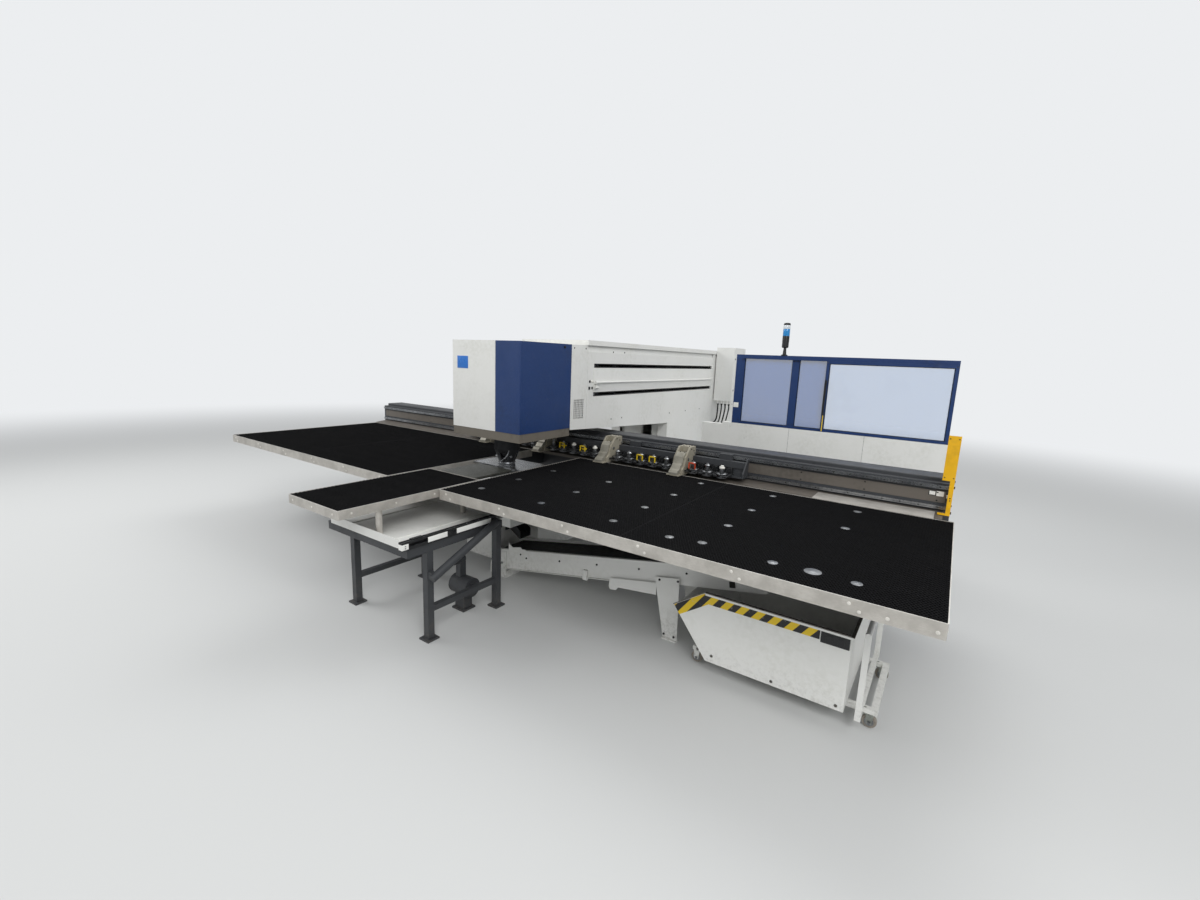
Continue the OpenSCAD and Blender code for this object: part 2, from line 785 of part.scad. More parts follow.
// Carriage under the beam, with runner blocks on the Y rails and the nut of the screw
module saddle() {
    g = slide_gap;
    block([-saddle_w / 2, saddle_y[0], beam_z - 34], [saddle_w / 2, saddle_y[1], beam_z]);
    for (s = [-1, 1], y = [saddle_y[0], saddle_y[1] - 180]) {
        difference() {
            block([s * y_rail_x - 34, y, lower_z + 8], [s * y_rail_x + 34, y + 180, beam_z - 33]);
            block([s * y_rail_x - 25 - g, y - 1, lower_z],
                [s * y_rail_x + 25 + g, y + 181, y_rail_top_z + g]);
        }
    }
    difference() {
        block([-46, 1010, lower_z + 3], [46, 1100, beam_z - 33]);
        rod_y([0, 1009, screw_z], screw_r + fit, 92);
    }
}

module beam_covers() {
    l = beam_half_l - 40;
    color(BROWN) {
        block([-l, beam_y - 5, rail_z_low + rail_h + 20], [l, beam_y, rail_z_high - 20]);
        side_extrude(-l, 2 * l) polygon([[beam_y, table_z - 4], [beam_y - 170, table_z - 22],
            [beam_y - 170, table_z - 50], [beam_y - 166, table_z - 50], [beam_y - 166, table_z - 25],
            [beam_y, table_z - 7]]);
    }
}

module x_guide_rails() {
    l = beam_half_l - 20;
    color(STEEL) for (z = [rail_z_low, rail_z_high]) {
        side_extrude(-l, 2 * l) translate([beam_y, z])
            polygon([[0, 0], [0, rail_h], [-rail_d, rail_h], [-rail_d, rail_h - 7], [-rail_d + 8, rail_h - 9],
                [-rail_d + 8, 9], [-rail_d, 7], [-rail_d, 0]]);
    }
}

module end_post() {
    x1 = beam_half_l;
    y0 = 900;
    color(YELLOW) {
        block([x1 - 75, y0, 1190], [x1, y0 + 4, 1510]);
        for (x = [x1 - 75, x1 - 28, x1 - 4]) block([x, y0, 1190], [x + 4, y0 + 22, 1510]);
        block([x1 - 28, y0, table_z - 10], [x1, y0 + 4, 1191]);
        block([x1 - 4, y0, table_z - 10], [x1, y0 + 22, 1191]);
        block([x1 - 75, y0, table_z - 10], [x1, y0 + 22, table_z + 2]);
        block([x1 - 28, y0 + 3, 1040], [x1 - 4, beam_y, 1080]);
    }
}

module cross_rail() {
    x0 = cross_rail_x[0];
    x1 = cross_rail_x[1];
    g = slide_gap;
    color(DARK) {
        difference() {
            block([x0, 900, rail_z_low + 6], [x1, 950, rail_z_high - 10]);
            block([x0 - 1, 894, rail_z_low + 50], [x1 + 1, 912, rail_z_low + 84]);
        }
        for (z = [rail_z_low, rail_z_high], x = [x0 + 140, x0 + 1080, x1 - 1200, x1 - 260]) {
            difference() {
                block([x, 949, z - 13], [x + 120, beam_y - 9, z + rail_h + 13]);
                block([x - 1, beam_y - rail_d - g, z - g], [x + 121, beam_y + 1, z + rail_h + g]);
            }
        }
        for (c = [0:3]) {
            from = clamp_x[c] + clamp_w / 2 + 2;
            to = c < 3 ? clamp_x[c + 1] - clamp_w / 2 - 2 : x1;
            block([from, 842, rail_z_low + 8], [to, 901, cassette_z]);
        }
        block([x0, 842, rail_z_low + 8], [clamp_x[0] - clamp_w / 2 - 2, 901, cassette_z]);
    }
    // Slanted end bracket on the right
    color(STEEL) side_extrude(x1, 12) polygon([[830, cassette_z - 10], [950, cassette_z - 10],
        [950, rail_z_high + 20], [925, rail_z_high + 20], [830, cassette_z + 30]]);
}

// One station: fork plate open to the front, back block and two spring fingers round the tool
module cassette() {
    half = pitch / 2 - 4;
    difference() {
        union() {
            translate([0, 0, cassette_z]) linear_extrude(cassette_t)
                rounded([-half, tool_y - 52], [half, 899], 6);
            block([-half + 8, 858, cassette_z + 1], [half - 8, 899, cassette_z + 62]);
            translate([0, tool_y, cassette_z + cassette_t - 1]) linear_extrude(16) difference() {
                circle(r = tool_r + 9, $fn = 48);
                circle(r = tool_r + 2, $fn = 48);
                translate([-tool_r - 20, -tool_r - 90]) square([2 * tool_r + 40, tool_r + 70]);
            }
        }
        translate([-26, tool_y - 60, cassette_z - 1]) cube([52, 60, cassette_t + 2]);
        rod_z([0, tool_y, cassette_z - 1], 26, cassette_t + 2);
        block([-14, 850, cassette_z + 30], [14, 900, cassette_z + 63]);
    }
}

module tool_cassettes() {
    color(DARK) for (x = stations) translate([x, 0, 0]) cassette();
}

// Tool cartridge: lower ring, neck in the fork, flange, stem and striking head
module tool_cartridge() {
    g = slide_gap;
    z = cassette_z;
    rotate_extrude($fn = 32) polygon([[0, z - 17], [20, z - 17], [24, z - 14], [tool_r, z - 12],
        [tool_r, z - g], [25, z - g], [25, z + cassette_t + g], [tool_r, z + cassette_t + g],
        [tool_r, z + 24], [30, z + 29], [16, z + 31], [16, z + 66], [22, z + 68], [22, z + 80], [12, z + 86],
        [12, z + 95], [0, z + 95]]);
}

// Square grip on a tool, standing on its flange
module tool_grip() {
    z = cassette_z + 26;
    difference() {
        block([-32, -6, z], [32, 6, z + 58]);
        block([-25, -7, z - 1], [25, 7, z + 50]);
    }
}

module tools() {
    for (i = [0:len(stations) - 1]) translate([stations[i], tool_y, 0]) {
        color(STEEL) tool_cartridge();
    }
    for (i = [8, 10, 14, 15, 17]) if (i < len(stations))
        translate([stations[i], tool_y - 30, 0]) color(YELLOW) tool_grip();
}

module clamp_bodies() {
    z = table_z;
    half = clamp_w / 2;
    cheek = 18;
    back = 900 - slide_gap;
    top = z + 236;
    over = rail_z_high - 10;
    color(BROWN) for (x = clamp_x) translate([x, 0, 0]) {
        block([-half, 620, z + 3], [half, back, z + 12]);
        for (s = [-half, half - cheek]) {
            side_extrude(s, cheek) polygon([[690, z + 11], [back, z + 11], [back, over], [948, over],
                [948, top], [835, top], [800, z + 200], [755, z + 150], [730, z + 75], [690, z + 50]]);
        }
        block([-half + 1, 862, z + 11], [half - 1, back, over]);
        block([-half + 1, 862, over], [half - 1, 948, top]);
        rod_x([-half + 1, jaw_pivot[0], jaw_pivot[1]], 10, clamp_w - 2);
    }
}

module clamp_jaws() {
    z = table_z;
    half = clamp_w / 2 - 18 - slide_gap;
    color(STEEL) for (x = clamp_x) translate([x, 0, 0]) difference() {
        side_extrude(-half, 2 * half) polygon([[622, z + 13.2], [680, z + 13.2], [700, z + 25],
            [800, z + 60], [842, z + 100], [842, z + 165], [825, z + 190], [775, z + 190], [740, z + 160],
            [715, z + 100], [690, z + 90], [665, z + 55], [640, z + 50], [622, z + 30]]);
        rod_x([-half - 1, jaw_pivot[0], jaw_pivot[1]], 10 + fit, 2 * half + 2);
    }
}

module middle_table_frame() {
    z = trim_z + 13;
    color(WHITE) {
        table_ring([-mid_half_w, mid_front_y], [mid_half_w, mid_rear_y], z, [-180, 180],
            [mid_front_y + 300, mid_rear_y - 300]);
        for (y = [-1490, -770], x = [-270, 275]) {
            foot_z = x < 0 ? console_z : console_z + sheet_t;
            rod_z([x, y, foot_z], 22, z + 1 - foot_z);
        }
    }
}

module middle_brush_top() {
    i = trim_t + 1;
    color(BLACK) block([-mid_half_w + i, mid_front_y + i, rib_z], [mid_half_w - i, mid_rear_y - i, brush_z]);
}

// Top of the console's bars, where the parts tray lies
console_z = 700;
CONSOLE_X = [-300, 240, 570];
CONSOLE_Y = [-1530, -690];

module console_frame() {
    bar = 60;
    y0 = CONSOLE_Y[0];
    y1 = CONSOLE_Y[1];
    z = console_z - bar;
    color(DARK) {
        for (x = CONSOLE_X) block([x, y0, z], [x + bar, y1, console_z]);
        for (y = [y0, y1 - bar]) block([CONSOLE_X[0], y, z], [CONSOLE_X[2] + bar, y + bar, console_z]);
        for (x = [CONSOLE_X[0], CONSOLE_X[2]], y = [y0 + 150, y1 - bar]) {
            block([x + 5, y + 5, 10], [x + bar - 5, y + bar - 5, z + 1]);
            block([x - 18, y - 18, 0], [x + bar + 18, y + bar + 18, 12]);
        }
        for (x = [CONSOLE_X[0] + 10, CONSOLE_X[2] + 10]) block([x, y0 + 180, 200], [x + 40, y1 - 30, 240]);
    }
    console_brace();
    console_drive();
}

// Slanted tube beside the slide rail, from the front post up to the rear of the console
module console_brace() {
    x = CONSOLE_X[2] + 102;
    post_y = CONSOLE_Y[0] + 155;
    low = [x, post_y, 463];
    high = [x, CONSOLE_Y[1] - 100, 718];
    run = high - low;
    color(DARK) {
        translate(low) rotate([-atan2(run[1], run[2]), 0, 0]) cylinder(r = 28, h = norm(run), $fn = 48);
        block([CONSOLE_X[2] + 50, post_y + 5, 450], [x, post_y + 40, 500]);
        block([CONSOLE_X[2] + 55, high[1] - 40, 660], [x, high[1] - 5, 700]);
    }
}

// Geared motor that stands between the posts, on its foot, with a shaft cover above
module console_drive() {
    x = CONSOLE_X[2] - 225;
    y = CONSOLE_Y[1] - 210;
    color(DARK) {
        block([x + 20, y - 60, 0], [x + 150, y + 60, 14]);
        block([x + 35, y - 40, 13], [x + 135, y + 40, 130]);
        rod_x([x, y, 190], 75, 185);
        block([x + 35, y - 30, 240], [x + 85, y + 25, 380]);
        rod_y([x + 60, y - 75, 395], 34, 95);
        block([x + 180, y - 20, 205], [CONSOLE_X[2] + 11, y + 20, 235]);
    }
}

module discharge_tray() {
    x0 = CONSOLE_X[0] + 64;
    x1 = CONSOLE_X[2] + 30;
    z = console_z;
    color(WHITE) {
        side_extrude(x0, x1 - x0) polygon([[-500, z + 20], [-560, z], [CONSOLE_Y[0] - 15, z],
            [CONSOLE_Y[0] - 15, z + 60], [CONSOLE_Y[0] - 15 + sheet_t, z + 60], [CONSOLE_Y[0] - 15 + sheet_t,
            z + sheet_t], [-560, z + sheet_t], [-500, z + 20 + sheet_t]]);
        for (x = [x0 + 120, x0 + 640]) {
            block([x, CONSOLE_Y[0] + 40, z + sheet_t - 1], [x + 10, -600, z + sheet_t + 6]);
        }
    }
}

module slide_rail() {
    x = CONSOLE_X[2] + 34;
    z = console_z;
    color(BLACK) difference() {
        block([x, -1570, z], [x + 36, -740, z + 58]);
        block([x + 10, -1571, z + 22], [x + 37, -739, z + 44]);
        block([x + 8, -1571, z + 50], [x + 20, -739, z + 59]);
    }
}

// Local frame of the conveyor: X along the belt, Z square to it
module on_conveyor() {
    translate([conv_x, conv_y, conv_z]) rotate([0, -conv_angle, 0]) children();
}

// Side plate of the conveyor in its local frame, with the bore of each drum shaft
module conveyor_side() {
    difference() {
        union() {
            block([conv_s[0], 0, 0], [conv_s[1], side_t, conv_h]);
            block([0, -18, -22], [1700, side_t, -18]);
            block([0, 0, -22], [1700, side_t, 1]);
        }
        for (s = drum_s) rod_y([s, -1, drum_h], shaft_r + fit, side_t + 2);
    }
}

module conveyor_frame() {
    w = conv_w + side_t;
    color(WHITE) {
        on_conveyor() {
            conveyor_side();
            translate([0, w + side_t, 0]) mirror([0, 1, 0]) conveyor_side();
            // Slider bed under the upper run, and the bottom tray
            block([drum_s[0] + 70, side_t - 1, drum_h + drum_r - 8],
                [drum_s[1] - 70, w + 1, drum_h + drum_r]);
            block([conv_s[0], side_t - 1, 0], [conv_s[1] - 40, w + 1, 3]);
            // Folded top edges and the hood over the upper end
            for (y = [0, w - 22]) block([conv_s[0], y, conv_h - 3], [conv_s[1], y + 26, conv_h]);
            block([conv_s[1] - 230, 0, conv_h], [conv_s[1], w + side_t, conv_h + 3]);
            block([conv_s[1] - 230, 0, conv_h], [conv_s[1] - 227, w + side_t, conv_h + 22]);
        }
        conveyor_low_end();
    }
}

// Box of two cheeks that carries the low end, and the upright lug beside the belt
module conveyor_low_end() {
    w = conv_w + 2 * side_t;
    x = [104, 296];
    difference() {
        for (y = [conv_y - 6, conv_y + w]) {
            front_extrude(y, 6) polygon([[x[0], 0], [x[0], 190], [126, 218], [x[1], 245], [x[1], 0]]);
        }
        on_conveyor() rod_y([drum_s[0], -20, drum_h], shaft_r + 4, w + 40);
        block([x[0] - 1, conv_y - 7, 118], [146, conv_y + 1, 180]);
    }
    block([x[1] - 6, conv_y - 6, 0], [x[1], conv_y + w + 6, 62]);
    for (y = [conv_y - 6, conv_y + w - 34]) block([x[0], y, 0], [x[1], y + 40, 6]);
    front_extrude(conv_y, side_t - 0.5) polygon([[322, 240], [322, 331], [346, 312], [368, 300],
        [462, 322], [475, 308], [519, 314], [519, 290], [400, 250]]);
}

module conveyor_legs() {
    w = conv_w + side_t;
    leg = [[1776, 435], [1964, 470], [1974, 8], [1862, 8]];
    hanger = [[1395, 318], [1790, 392], [1790, 300], [1470, 262], [1452, 236], [1400, 228], [1388, 250]];
    color(WHITE) for (y = [conv_y - 22, conv_y + w + side_t + 18]) {
        front_extrude(y, 4) polygon(leg);
        front_extrude(y, 4) polygon(hanger);
        block([1862, y - 20, 0], [1974, y + 24, 9]);
    }
    color(WHITE) block([1890, conv_y - 19, 120], [1930, conv_y + w + side_t + 19, 160]);
}

module conveyor_belt() {
    r = drum_r + slide_gap;
    color(BLACK) on_conveyor() translate([0, side_t + 4, 0]) rotate([90, 0, 0]) mirror([0, 0, 1])
        linear_extrude(conv_w - 8) difference() {
            belt_outline(r + belt_t);
            belt_outline(r);
        }
}

module belt_outline(r) {
    translate([drum_s[0], drum_h - r]) square([drum_s[1] - drum_s[0], 2 * r]);
    for (s = drum_s) translate([s, drum_h]) circle(r = r, $fn = 64);
}

module drum(s) {
    color(STEEL) on_conveyor() {
        rod_y([s, side_t + 6, drum_h], drum_r, conv_w - 12);
        rod_y([s, -4, drum_h], shaft_r, conv_w + 2 * side_t + 8);
    }
}

module drive_drum() {
    drum(drum_s[1]);
}

module tail_drum() {
    drum(drum_s[0]);
}

module scrap_chute() {
    y = [-80, 60];
    run = [[recess_x + 2, 402], [250, 292]];
    t = 4;
    color(BLACK) {
        block([recess_x, y[0], 330], [recess_x + t, y[1], 404]);
        front_extrude(y[0], y[1] - y[0]) polygon([run[0], run[1], [run[1][0], run[1][1] - t],
            [run[0][0], run[0][1] - t - 2]]);
        for (e = [y[0], y[1] - t]) {
            front_extrude(e, t)
                polygon([[recess_x, 430], [150, 430], [250, 360], [250, 286], [recess_x, 394]]);
        }
    }
}

// Side outline of the bin: spout on the left, shrunk by an inset and open at the top
module bin_outline(i) {
    polygon([[2055 + 1.2 * i, 415], [bin_x[0], bin_rim_z], [bin_x[0], bin_rim_z + 10 * i],
        [bin_x[1] - i, bin_rim_z + 10 * i], [bin_x[1] - i, bin_z + i], [2290 + 0.5 * i, bin_z + i]]);
}

module bin_body() {
    color(WHITE) {
        difference() {
            front_extrude(bin_y[0], bin_y[1] - bin_y[0]) bin_outline(0);
            front_extrude(bin_y[0] + bin_t, bin_y[1] - bin_y[0] - 2 * bin_t) bin_outline(bin_t);
            front_extrude(bin_y[0] + bin_t, bin_y[1] - bin_y[0] - 2 * bin_t)
                polygon([[2000, 415], [2300, 380], [bin_x[1] - bin_t, 400], [bin_x[1] - bin_t, 700],
                    [2000, 700]]);
        }
        // Rim strips along both sides and across the right end
        for (y = [bin_y[0] - 10, bin_y[1]]) {
            block([bin_x[0], y, bin_rim_z - 14], [bin_x[1], y + 10, bin_rim_z]);
        }
        block([bin_x[1], bin_y[0] - 10, bin_rim_z - 14], [bin_x[1] + 10, bin_y[1] + 10, bin_rim_z]);
    }
}

module bin_frame() {
    bar = 36;
    x0 = fixed_wheel_x - 30;
    x1 = 3245;
    color(WHITE) {
        difference() {
            union() {
                for (y = caster_y) block([x0, y - bar / 2, bin_bar_z], [x1, y + bar / 2, bin_z]);
                block([3145, bin_y[0] + 10, bin_bar_z], [3175, bin_y[1] - 10, bin_z]);
            }
            for (y = caster_y) rod_z([swivel_x, y, bin_bar_z - 1], king_r + fit, 40);
        }
        for (y = [bin_y[0] + 10, bin_y[1] - 40]) block([3145, y, bin_bar_z], [3175, y + 30, 580]);
        for (x = [x0, 2700, x1 - bar]) {
            block([x, caster_y[0], bin_bar_z], [x + bar, caster_y[1], bin_z]);
        }
        rod_y([3160, bin_y[0] + 5, 580], 15, bin_y[1] - bin_y[0] - 10);
        for (y = caster_y) fork(fixed_wheel_x, y, bin_bar_z + 1);
    }
}

// Wheel fork whose top plate ends at height top, with its axle through the wheel
module fork(x, y, top) {
    gap = wheel_w / 2 + 3;
    block([x - 22, y - gap - 4, top - 4], [x + 22, y + gap + 4, top]);
    for (e = [y - gap - 4, y + gap]) {
        front_extrude(e, 4) polygon([[x - 20, top], [x + 20, top], [x + 13, wheel_r - 11],
            [x - 13, wheel_r - 11]]);
    }
    rod_y([x, y - gap - 7, wheel_r], axle_r, 2 * gap + 14);
}

module wheel(x, y) {
    difference() {
        translate([x, y, wheel_r]) rotate([90, 0, 0]) rotate_extrude($fn = 48) polygon([[0, -wheel_w / 2],
            [wheel_r - 12, -wheel_w / 2], [wheel_r - 11, 4 - wheel_w / 2], [wheel_r - 3, 2 - wheel_w / 2],
            [wheel_r, 6 - wheel_w / 2], [wheel_r, wheel_w / 2 - 6], [wheel_r - 3, wheel_w / 2 - 2],
            [wheel_r - 11, wheel_w / 2 - 4], [wheel_r - 12, wheel_w / 2], [0, wheel_w / 2]]);
        rod_y([x, y - wheel_w, wheel_r], axle_r + fit, 2 * wheel_w);
    }
}

// Swivel fork of one caster, with its top plate under the frame's bar
module caster_fork(y) {
    top = bin_bar_z - slide_gap;
    color(STEEL) {
        fork(swivel_x + trail, y, top);
        block([swivel_x - 18, y - 22, top - 4], [swivel_x + trail, y + 22, top]);
        rod_z([swivel_x, y, top - 1], king_r, bin_z - top - 1);
    }
}

module caster_fork_front() {
    caster_fork(caster_y[0]);
}

module caster_fork_back() {
    caster_fork(caster_y[1]);
}

module swivel_wheel_front() {
    color(DARK) wheel(swivel_x + trail, caster_y[0]);
}

module swivel_wheel_back() {
    color(DARK) wheel(swivel_x + trail, caster_y[1]);
}

module fixed_wheel_front() {
    color(DARK) wheel(fixed_wheel_x, caster_y[0]);
}

module fixed_wheel_back() {
    color(DARK) wheel(fixed_wheel_x, caster_y[1]);
}

module guard_frame() {
    x0 = guard_x;
    x1 = guard_x + guard_w;
    d = 40;
    y0 = guard_y;
    color(BLUE) {
        block([x0, y0, guard_top_z - stile], [x1, y0 + d, guard_top_z]);
        block([x0, y0, guard_z], [x1, y0 + d, guard_z + stile]);
        block([x0, y0, guard_z], [x0 + wide_stile, y0 + d, guard_top_z]);
        block([x1 - stile, y0, guard_z], [x1, y0 + d, guard_top_z]);
        block([mullion_x[0], y0, guard_z], [mullion_x[1], y0 + d, guard_top_z]);
        // Tracks of the sliding door in front of the frame
        for (z = [guard_z, guard_top_z - 44]) block([x0 + 80, y0 - 36, z], [x1, y0, z + 6]);
    }
    color(BLUE) for (x = leg_x) {
        block([x, y0 - 20, 8], [x + 60, y0 + d, x < guard_x ? skirt_top_z - 28 - sheet_t : guard_z + 1]);
        block([x - 40, y0 - 80, 0], [x + 100, y0 + 100, 10]);
    }
}

module guard_skirt() {
    x0 = skirt_x[0];
    x1 = skirt_x[1];
    z0 = 940;
    t = sheet_t;
    color(WHITE) difference() {
        union() {
            front_extrude(skirt_y, t) polygon([[x0, z0], [x1, z0], [x1, skirt_top_z], [x0 + 250, skirt_top_z],
                [x0 + 250, skirt_top_z - 28], [x0, skirt_top_z - 28]]);
            block([x0 + 250, skirt_y, skirt_top_z - t], [guard_x - 2, skirt_y + 90, skirt_top_z]);
            block([x0, skirt_y, skirt_top_z - 28 - t], [x0 + 250, skirt_y + 90, skirt_top_z - 28]);
            for (x = [x0, x1 - t]) block([x, skirt_y, z0], [x + t, skirt_y + 90, skirt_top_z - 28]);
            for (x = leg_x) block([x + 10, skirt_y, z0 + 20], [x + 50, guard_y - 20, z0 + 220]);
        }
        block([x0 + 330, skirt_y - 1, skirt_top_z - 120], [x0 + 334, skirt_y + t + 1, skirt_top_z - 10]);
    }
}

module guard_panes() {
    y = guard_y + 14;
    z = [guard_z + stile, guard_top_z - stile];
    bays = [[guard_x + wide_stile, mullion_x[0]], [mullion_x[1], door_x - 6]];
    color("#7fb0e6", 0.4) for (b = bays) block([b[0], y, z[0]], [b[1], y + 5, z[1]]);
}

module guard_door_frame() {
    x1 = guard_x + guard_w - 4;
    y0 = guard_y - 34;
    g = slide_gap;
    z = [guard_z + 6 + g, guard_top_z - 44 - g];
    color(BLUE) {
        for (x = [door_x, x1 - 26]) block([x, y0, z[0]], [x + 26, y0 + 30, z[1]]);
        block([door_x, y0, z[0]], [x1, y0 + 30, z[0] + 40]);
        block([door_x, y0, z[1] - 26], [x1, y0 + 30, z[1]]);
    }
}

module guard_door_pane() {
    x1 = guard_x + guard_w - 4;
    y = guard_y - 20;
    color("#9fc4ea", 0.35) block([door_x + 26, y, guard_z + 46 + slide_gap],
        [x1 - 26, y + 5, guard_top_z - 70 - slide_gap]);
}

module door_handle() {
    y = guard_y - 34;
    color(BLACK) {
        block([door_x + 1, y - 30, 1440], [door_x + 22, y - 18, 1810]);
        for (z = [1450, 1780]) block([door_x + 1, y - 19, z], [door_x + 22, y, z + 20]);
    }
}

BEACON = [1740, 2520];

module signal_beacon() {
    translate([BEACON[0], BEACON[1], guard_top_z]) {
        color(BLACK) rotate_extrude($fn = 32) polygon([[0, 0], [34, 0], [34, 8], [20, 14], [14, 80], [30, 86],
            [35, 92], [35, 150], [0, 150]]);
        color(BLUE) rotate_extrude($fn = 32) polygon([[0, 150], [34, 150], [34, 254], [35, 256], [35, 326],
            [30, 346], [0, 354]]);
    }
}

c_frame();
levelling_feet();
head_block();
arm_cover_right();
arm_cover_left();
arm_top_cover();
head_cover_white();
head_cover_blue();
head_apron();
rear_cover();
rear_box();
die_pedestal();
die_table();
y_rails();
y_drive();
y_screw();
middle_table_frame();
middle_brush_top();
console_frame();
discharge_tray();
slide_rail();
scrap_chute();
conveyor_frame();
conveyor_legs();
conveyor_belt();
drive_drum();
tail_drum();
guard_frame();
guard_skirt();
guard_panes();
signal_beacon();
guard_door_frame();
guard_door_pane();
door_handle();
chute_flap();
ram();
punch_holder();
stripper();
die_holder();
cross_beam();
beam_covers();
x_guide_rails();
table_supports();
table_frames();
brush_tops();
ball_units();
end_post();
cross_rail();
tool_cassettes();
tools();
clamp_bodies();
clamp_jaws();
bin_body();
bin_frame();
caster_fork_front();
caster_fork_back();
swivel_wheel_front();
swivel_wheel_back();
fixed_wheel_front();
fixed_wheel_back();
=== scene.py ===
"""Finishes and fittings of a sheet metal punching machine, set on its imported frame."""
import itertools
import json
import math

import bmesh
import bpy
from mathutils import Matrix, Vector


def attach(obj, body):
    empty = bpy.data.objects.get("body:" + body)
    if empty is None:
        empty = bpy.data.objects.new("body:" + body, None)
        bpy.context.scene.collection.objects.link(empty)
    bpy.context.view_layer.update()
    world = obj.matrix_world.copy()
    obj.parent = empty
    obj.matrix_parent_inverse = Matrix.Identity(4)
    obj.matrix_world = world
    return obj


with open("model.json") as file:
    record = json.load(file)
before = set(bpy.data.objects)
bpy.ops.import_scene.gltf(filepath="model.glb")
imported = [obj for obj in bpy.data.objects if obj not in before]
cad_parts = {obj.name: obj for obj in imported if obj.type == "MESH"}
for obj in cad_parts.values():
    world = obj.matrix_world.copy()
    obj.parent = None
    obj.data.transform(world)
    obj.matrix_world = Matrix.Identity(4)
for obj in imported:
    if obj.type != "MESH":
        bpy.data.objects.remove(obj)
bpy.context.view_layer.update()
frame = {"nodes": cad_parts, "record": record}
NODES = frame["nodes"]
scene = bpy.context.scene
scene.view_settings.view_transform = "Standard"


# Camera, floor and light

def place_camera():
    """The photograph's viewpoint: 1.95 m above the floor, in front of the right table."""
    data = bpy.data.cameras.new("camera")
    data.sensor_width, data.lens = 36, 15.587
    data.clip_start, data.clip_end = 0.05, 300
    right = Vector((0.82254, 0.56741, 0.0384))
    up = Vector((-0.13046, 0.12253, 0.98385))
    back = Vector((0.55354, -0.81427, 0.17481))
    camera = bpy.data.objects.new("camera", data)
    turn = Matrix((right, up, back)).transposed().to_4x4()
    camera.matrix_world = Matrix.Translation((3.38, -3.44, 1.95)) @ turn
    scene.collection.objects.link(camera)
    scene.camera = camera


def linear(hex_value):
    """sRGB hex to the linear colour that a shader takes."""
    parts = [int(hex_value[i:i + 2], 16) / 255 for i in (1, 3, 5)]
    return tuple(c / 12.92 if c <= 0.04045 else ((c + 0.055) / 1.055) ** 2.4 for c in parts) + (1.0,)


def add(tree, kind, settings=None, links=None):
    """One node with its settings, by property or input, and the sockets that feed it."""
    made = tree.nodes.new(kind)
    for key, value in (settings or {}).items():
        if isinstance(key, str) and hasattr(made, key):
            setattr(made, key, value)
        else:
            made.inputs[key].default_value = value
    for key, source in (links or {}).items():
        tree.links.new(source, made.inputs[key])
    return made


def light_the_room():
    world = bpy.data.worlds.new("studio")
    scene.world = world
    world.use_nodes = True
    tree = world.node_tree
    tree.nodes.clear()
    path = add(tree, "ShaderNodeLightPath")
    seen = add(tree, "ShaderNodeMath", {"operation": "MAXIMUM"},
               {0: path.outputs["Is Camera Ray"], 1: path.outputs["Is Transmission Ray"]})
    glow = add(tree, "ShaderNodeBackground", {"Color": linear("#f4f6f8"), "Strength": 0.62})
    paper = add(tree, "ShaderNodeBackground", {"Color": linear("#eceef0"), "Strength": 1.0})
    mix = add(tree, "ShaderNodeMixShader", {},
              {0: seen.outputs[0], 1: glow.outputs[0], 2: paper.outputs[0]})
    add(tree, "ShaderNodeOutputWorld", {}, {0: mix.outputs[0]})
    for name, at, aim, size, watts in [
            ("lamp_front_right", (6.5, -5.5, 6.5), (0.8, 0.3, 0.9), 5.0, 390),
            ("lamp_left", (-6.5, -3.5, 6.0), (0, 0.5, 0.9), 5.0, 260),
            ("lamp_over_arm", (1.5, 4.5, 7.5), (0.5, 2.0, 1.0), 6.0, 220)]:
        data = bpy.data.lights.new(name, "AREA")
        data.shape, data.size, data.energy = "DISK", size, watts
        lamp = bpy.data.objects.new(name, data)
        lamp.location = at
        lamp.rotation_euler = (Vector(at) - Vector(aim)).to_track_quat("Z", "Y").to_euler()
        scene.collection.objects.link(lamp)


def lay_floor():
    """Pale floor that fades into the background where nothing stands."""
    material = bpy.data.materials.new("pale_studio_floor")
    material.use_nodes = True
    tree = material.node_tree
    tree.nodes.clear()
    place = add(tree, "ShaderNodeTexCoord")
    reach = add(tree, "ShaderNodeVectorMath", {"operation": "LENGTH"}, {0: place.outputs["Object"]})
    fade = add(tree, "ShaderNodeMapRange", {"interpolation_type": "SMOOTHSTEP", "From Min": 8.0,
               "From Max": 17.0}, {"Value": reach.outputs["Value"]})
    path = add(tree, "ShaderNodeLightPath")
    share = add(tree, "ShaderNodeMath", {"operation": "MULTIPLY"},
                {0: fade.outputs[0], 1: path.outputs["Is Camera Ray"]})
    matte = add(tree, "ShaderNodeBsdfPrincipled", {"Base Color": linear("#cfd0cf"), "Roughness": 0.65})
    paper = add(tree, "ShaderNodeEmission", {"Color": linear("#eceef0"), "Strength": 1.0})
    mix = add(tree, "ShaderNodeMixShader", {},
              {0: share.outputs[0], 1: matte.outputs[0], 2: paper.outputs[0]})
    add(tree, "ShaderNodeOutputMaterial", {}, {0: mix.outputs[0]})
    mesh = bpy.data.meshes.new("studio_floor")
    half = 120.0
    mesh.from_pydata([(-half, -half, 0), (half, -half, 0), (half, half, 0), (-half, half, 0)], [],
                     [(0, 1, 2, 3)])
    floor = bpy.data.objects.new("studio_floor", mesh)
    mesh.materials.append(material)
    scene.collection.objects.link(floor)


place_camera()
light_the_room()
lay_floor()


# Finishes. Sizes are in millimetres, on Object coordinates in metres.

def per_metre(size_mm):
    """Scale of a texture whose features are size_mm across."""
    return 1000.0 / size_mm


def new_finish(name):
    material = bpy.data.materials.new(name)
    material.use_nodes = True
    tree = material.node_tree
    tree.nodes.clear()
    place = add(tree, "ShaderNodeTexCoord").outputs["Object"]
    return material, tree, place


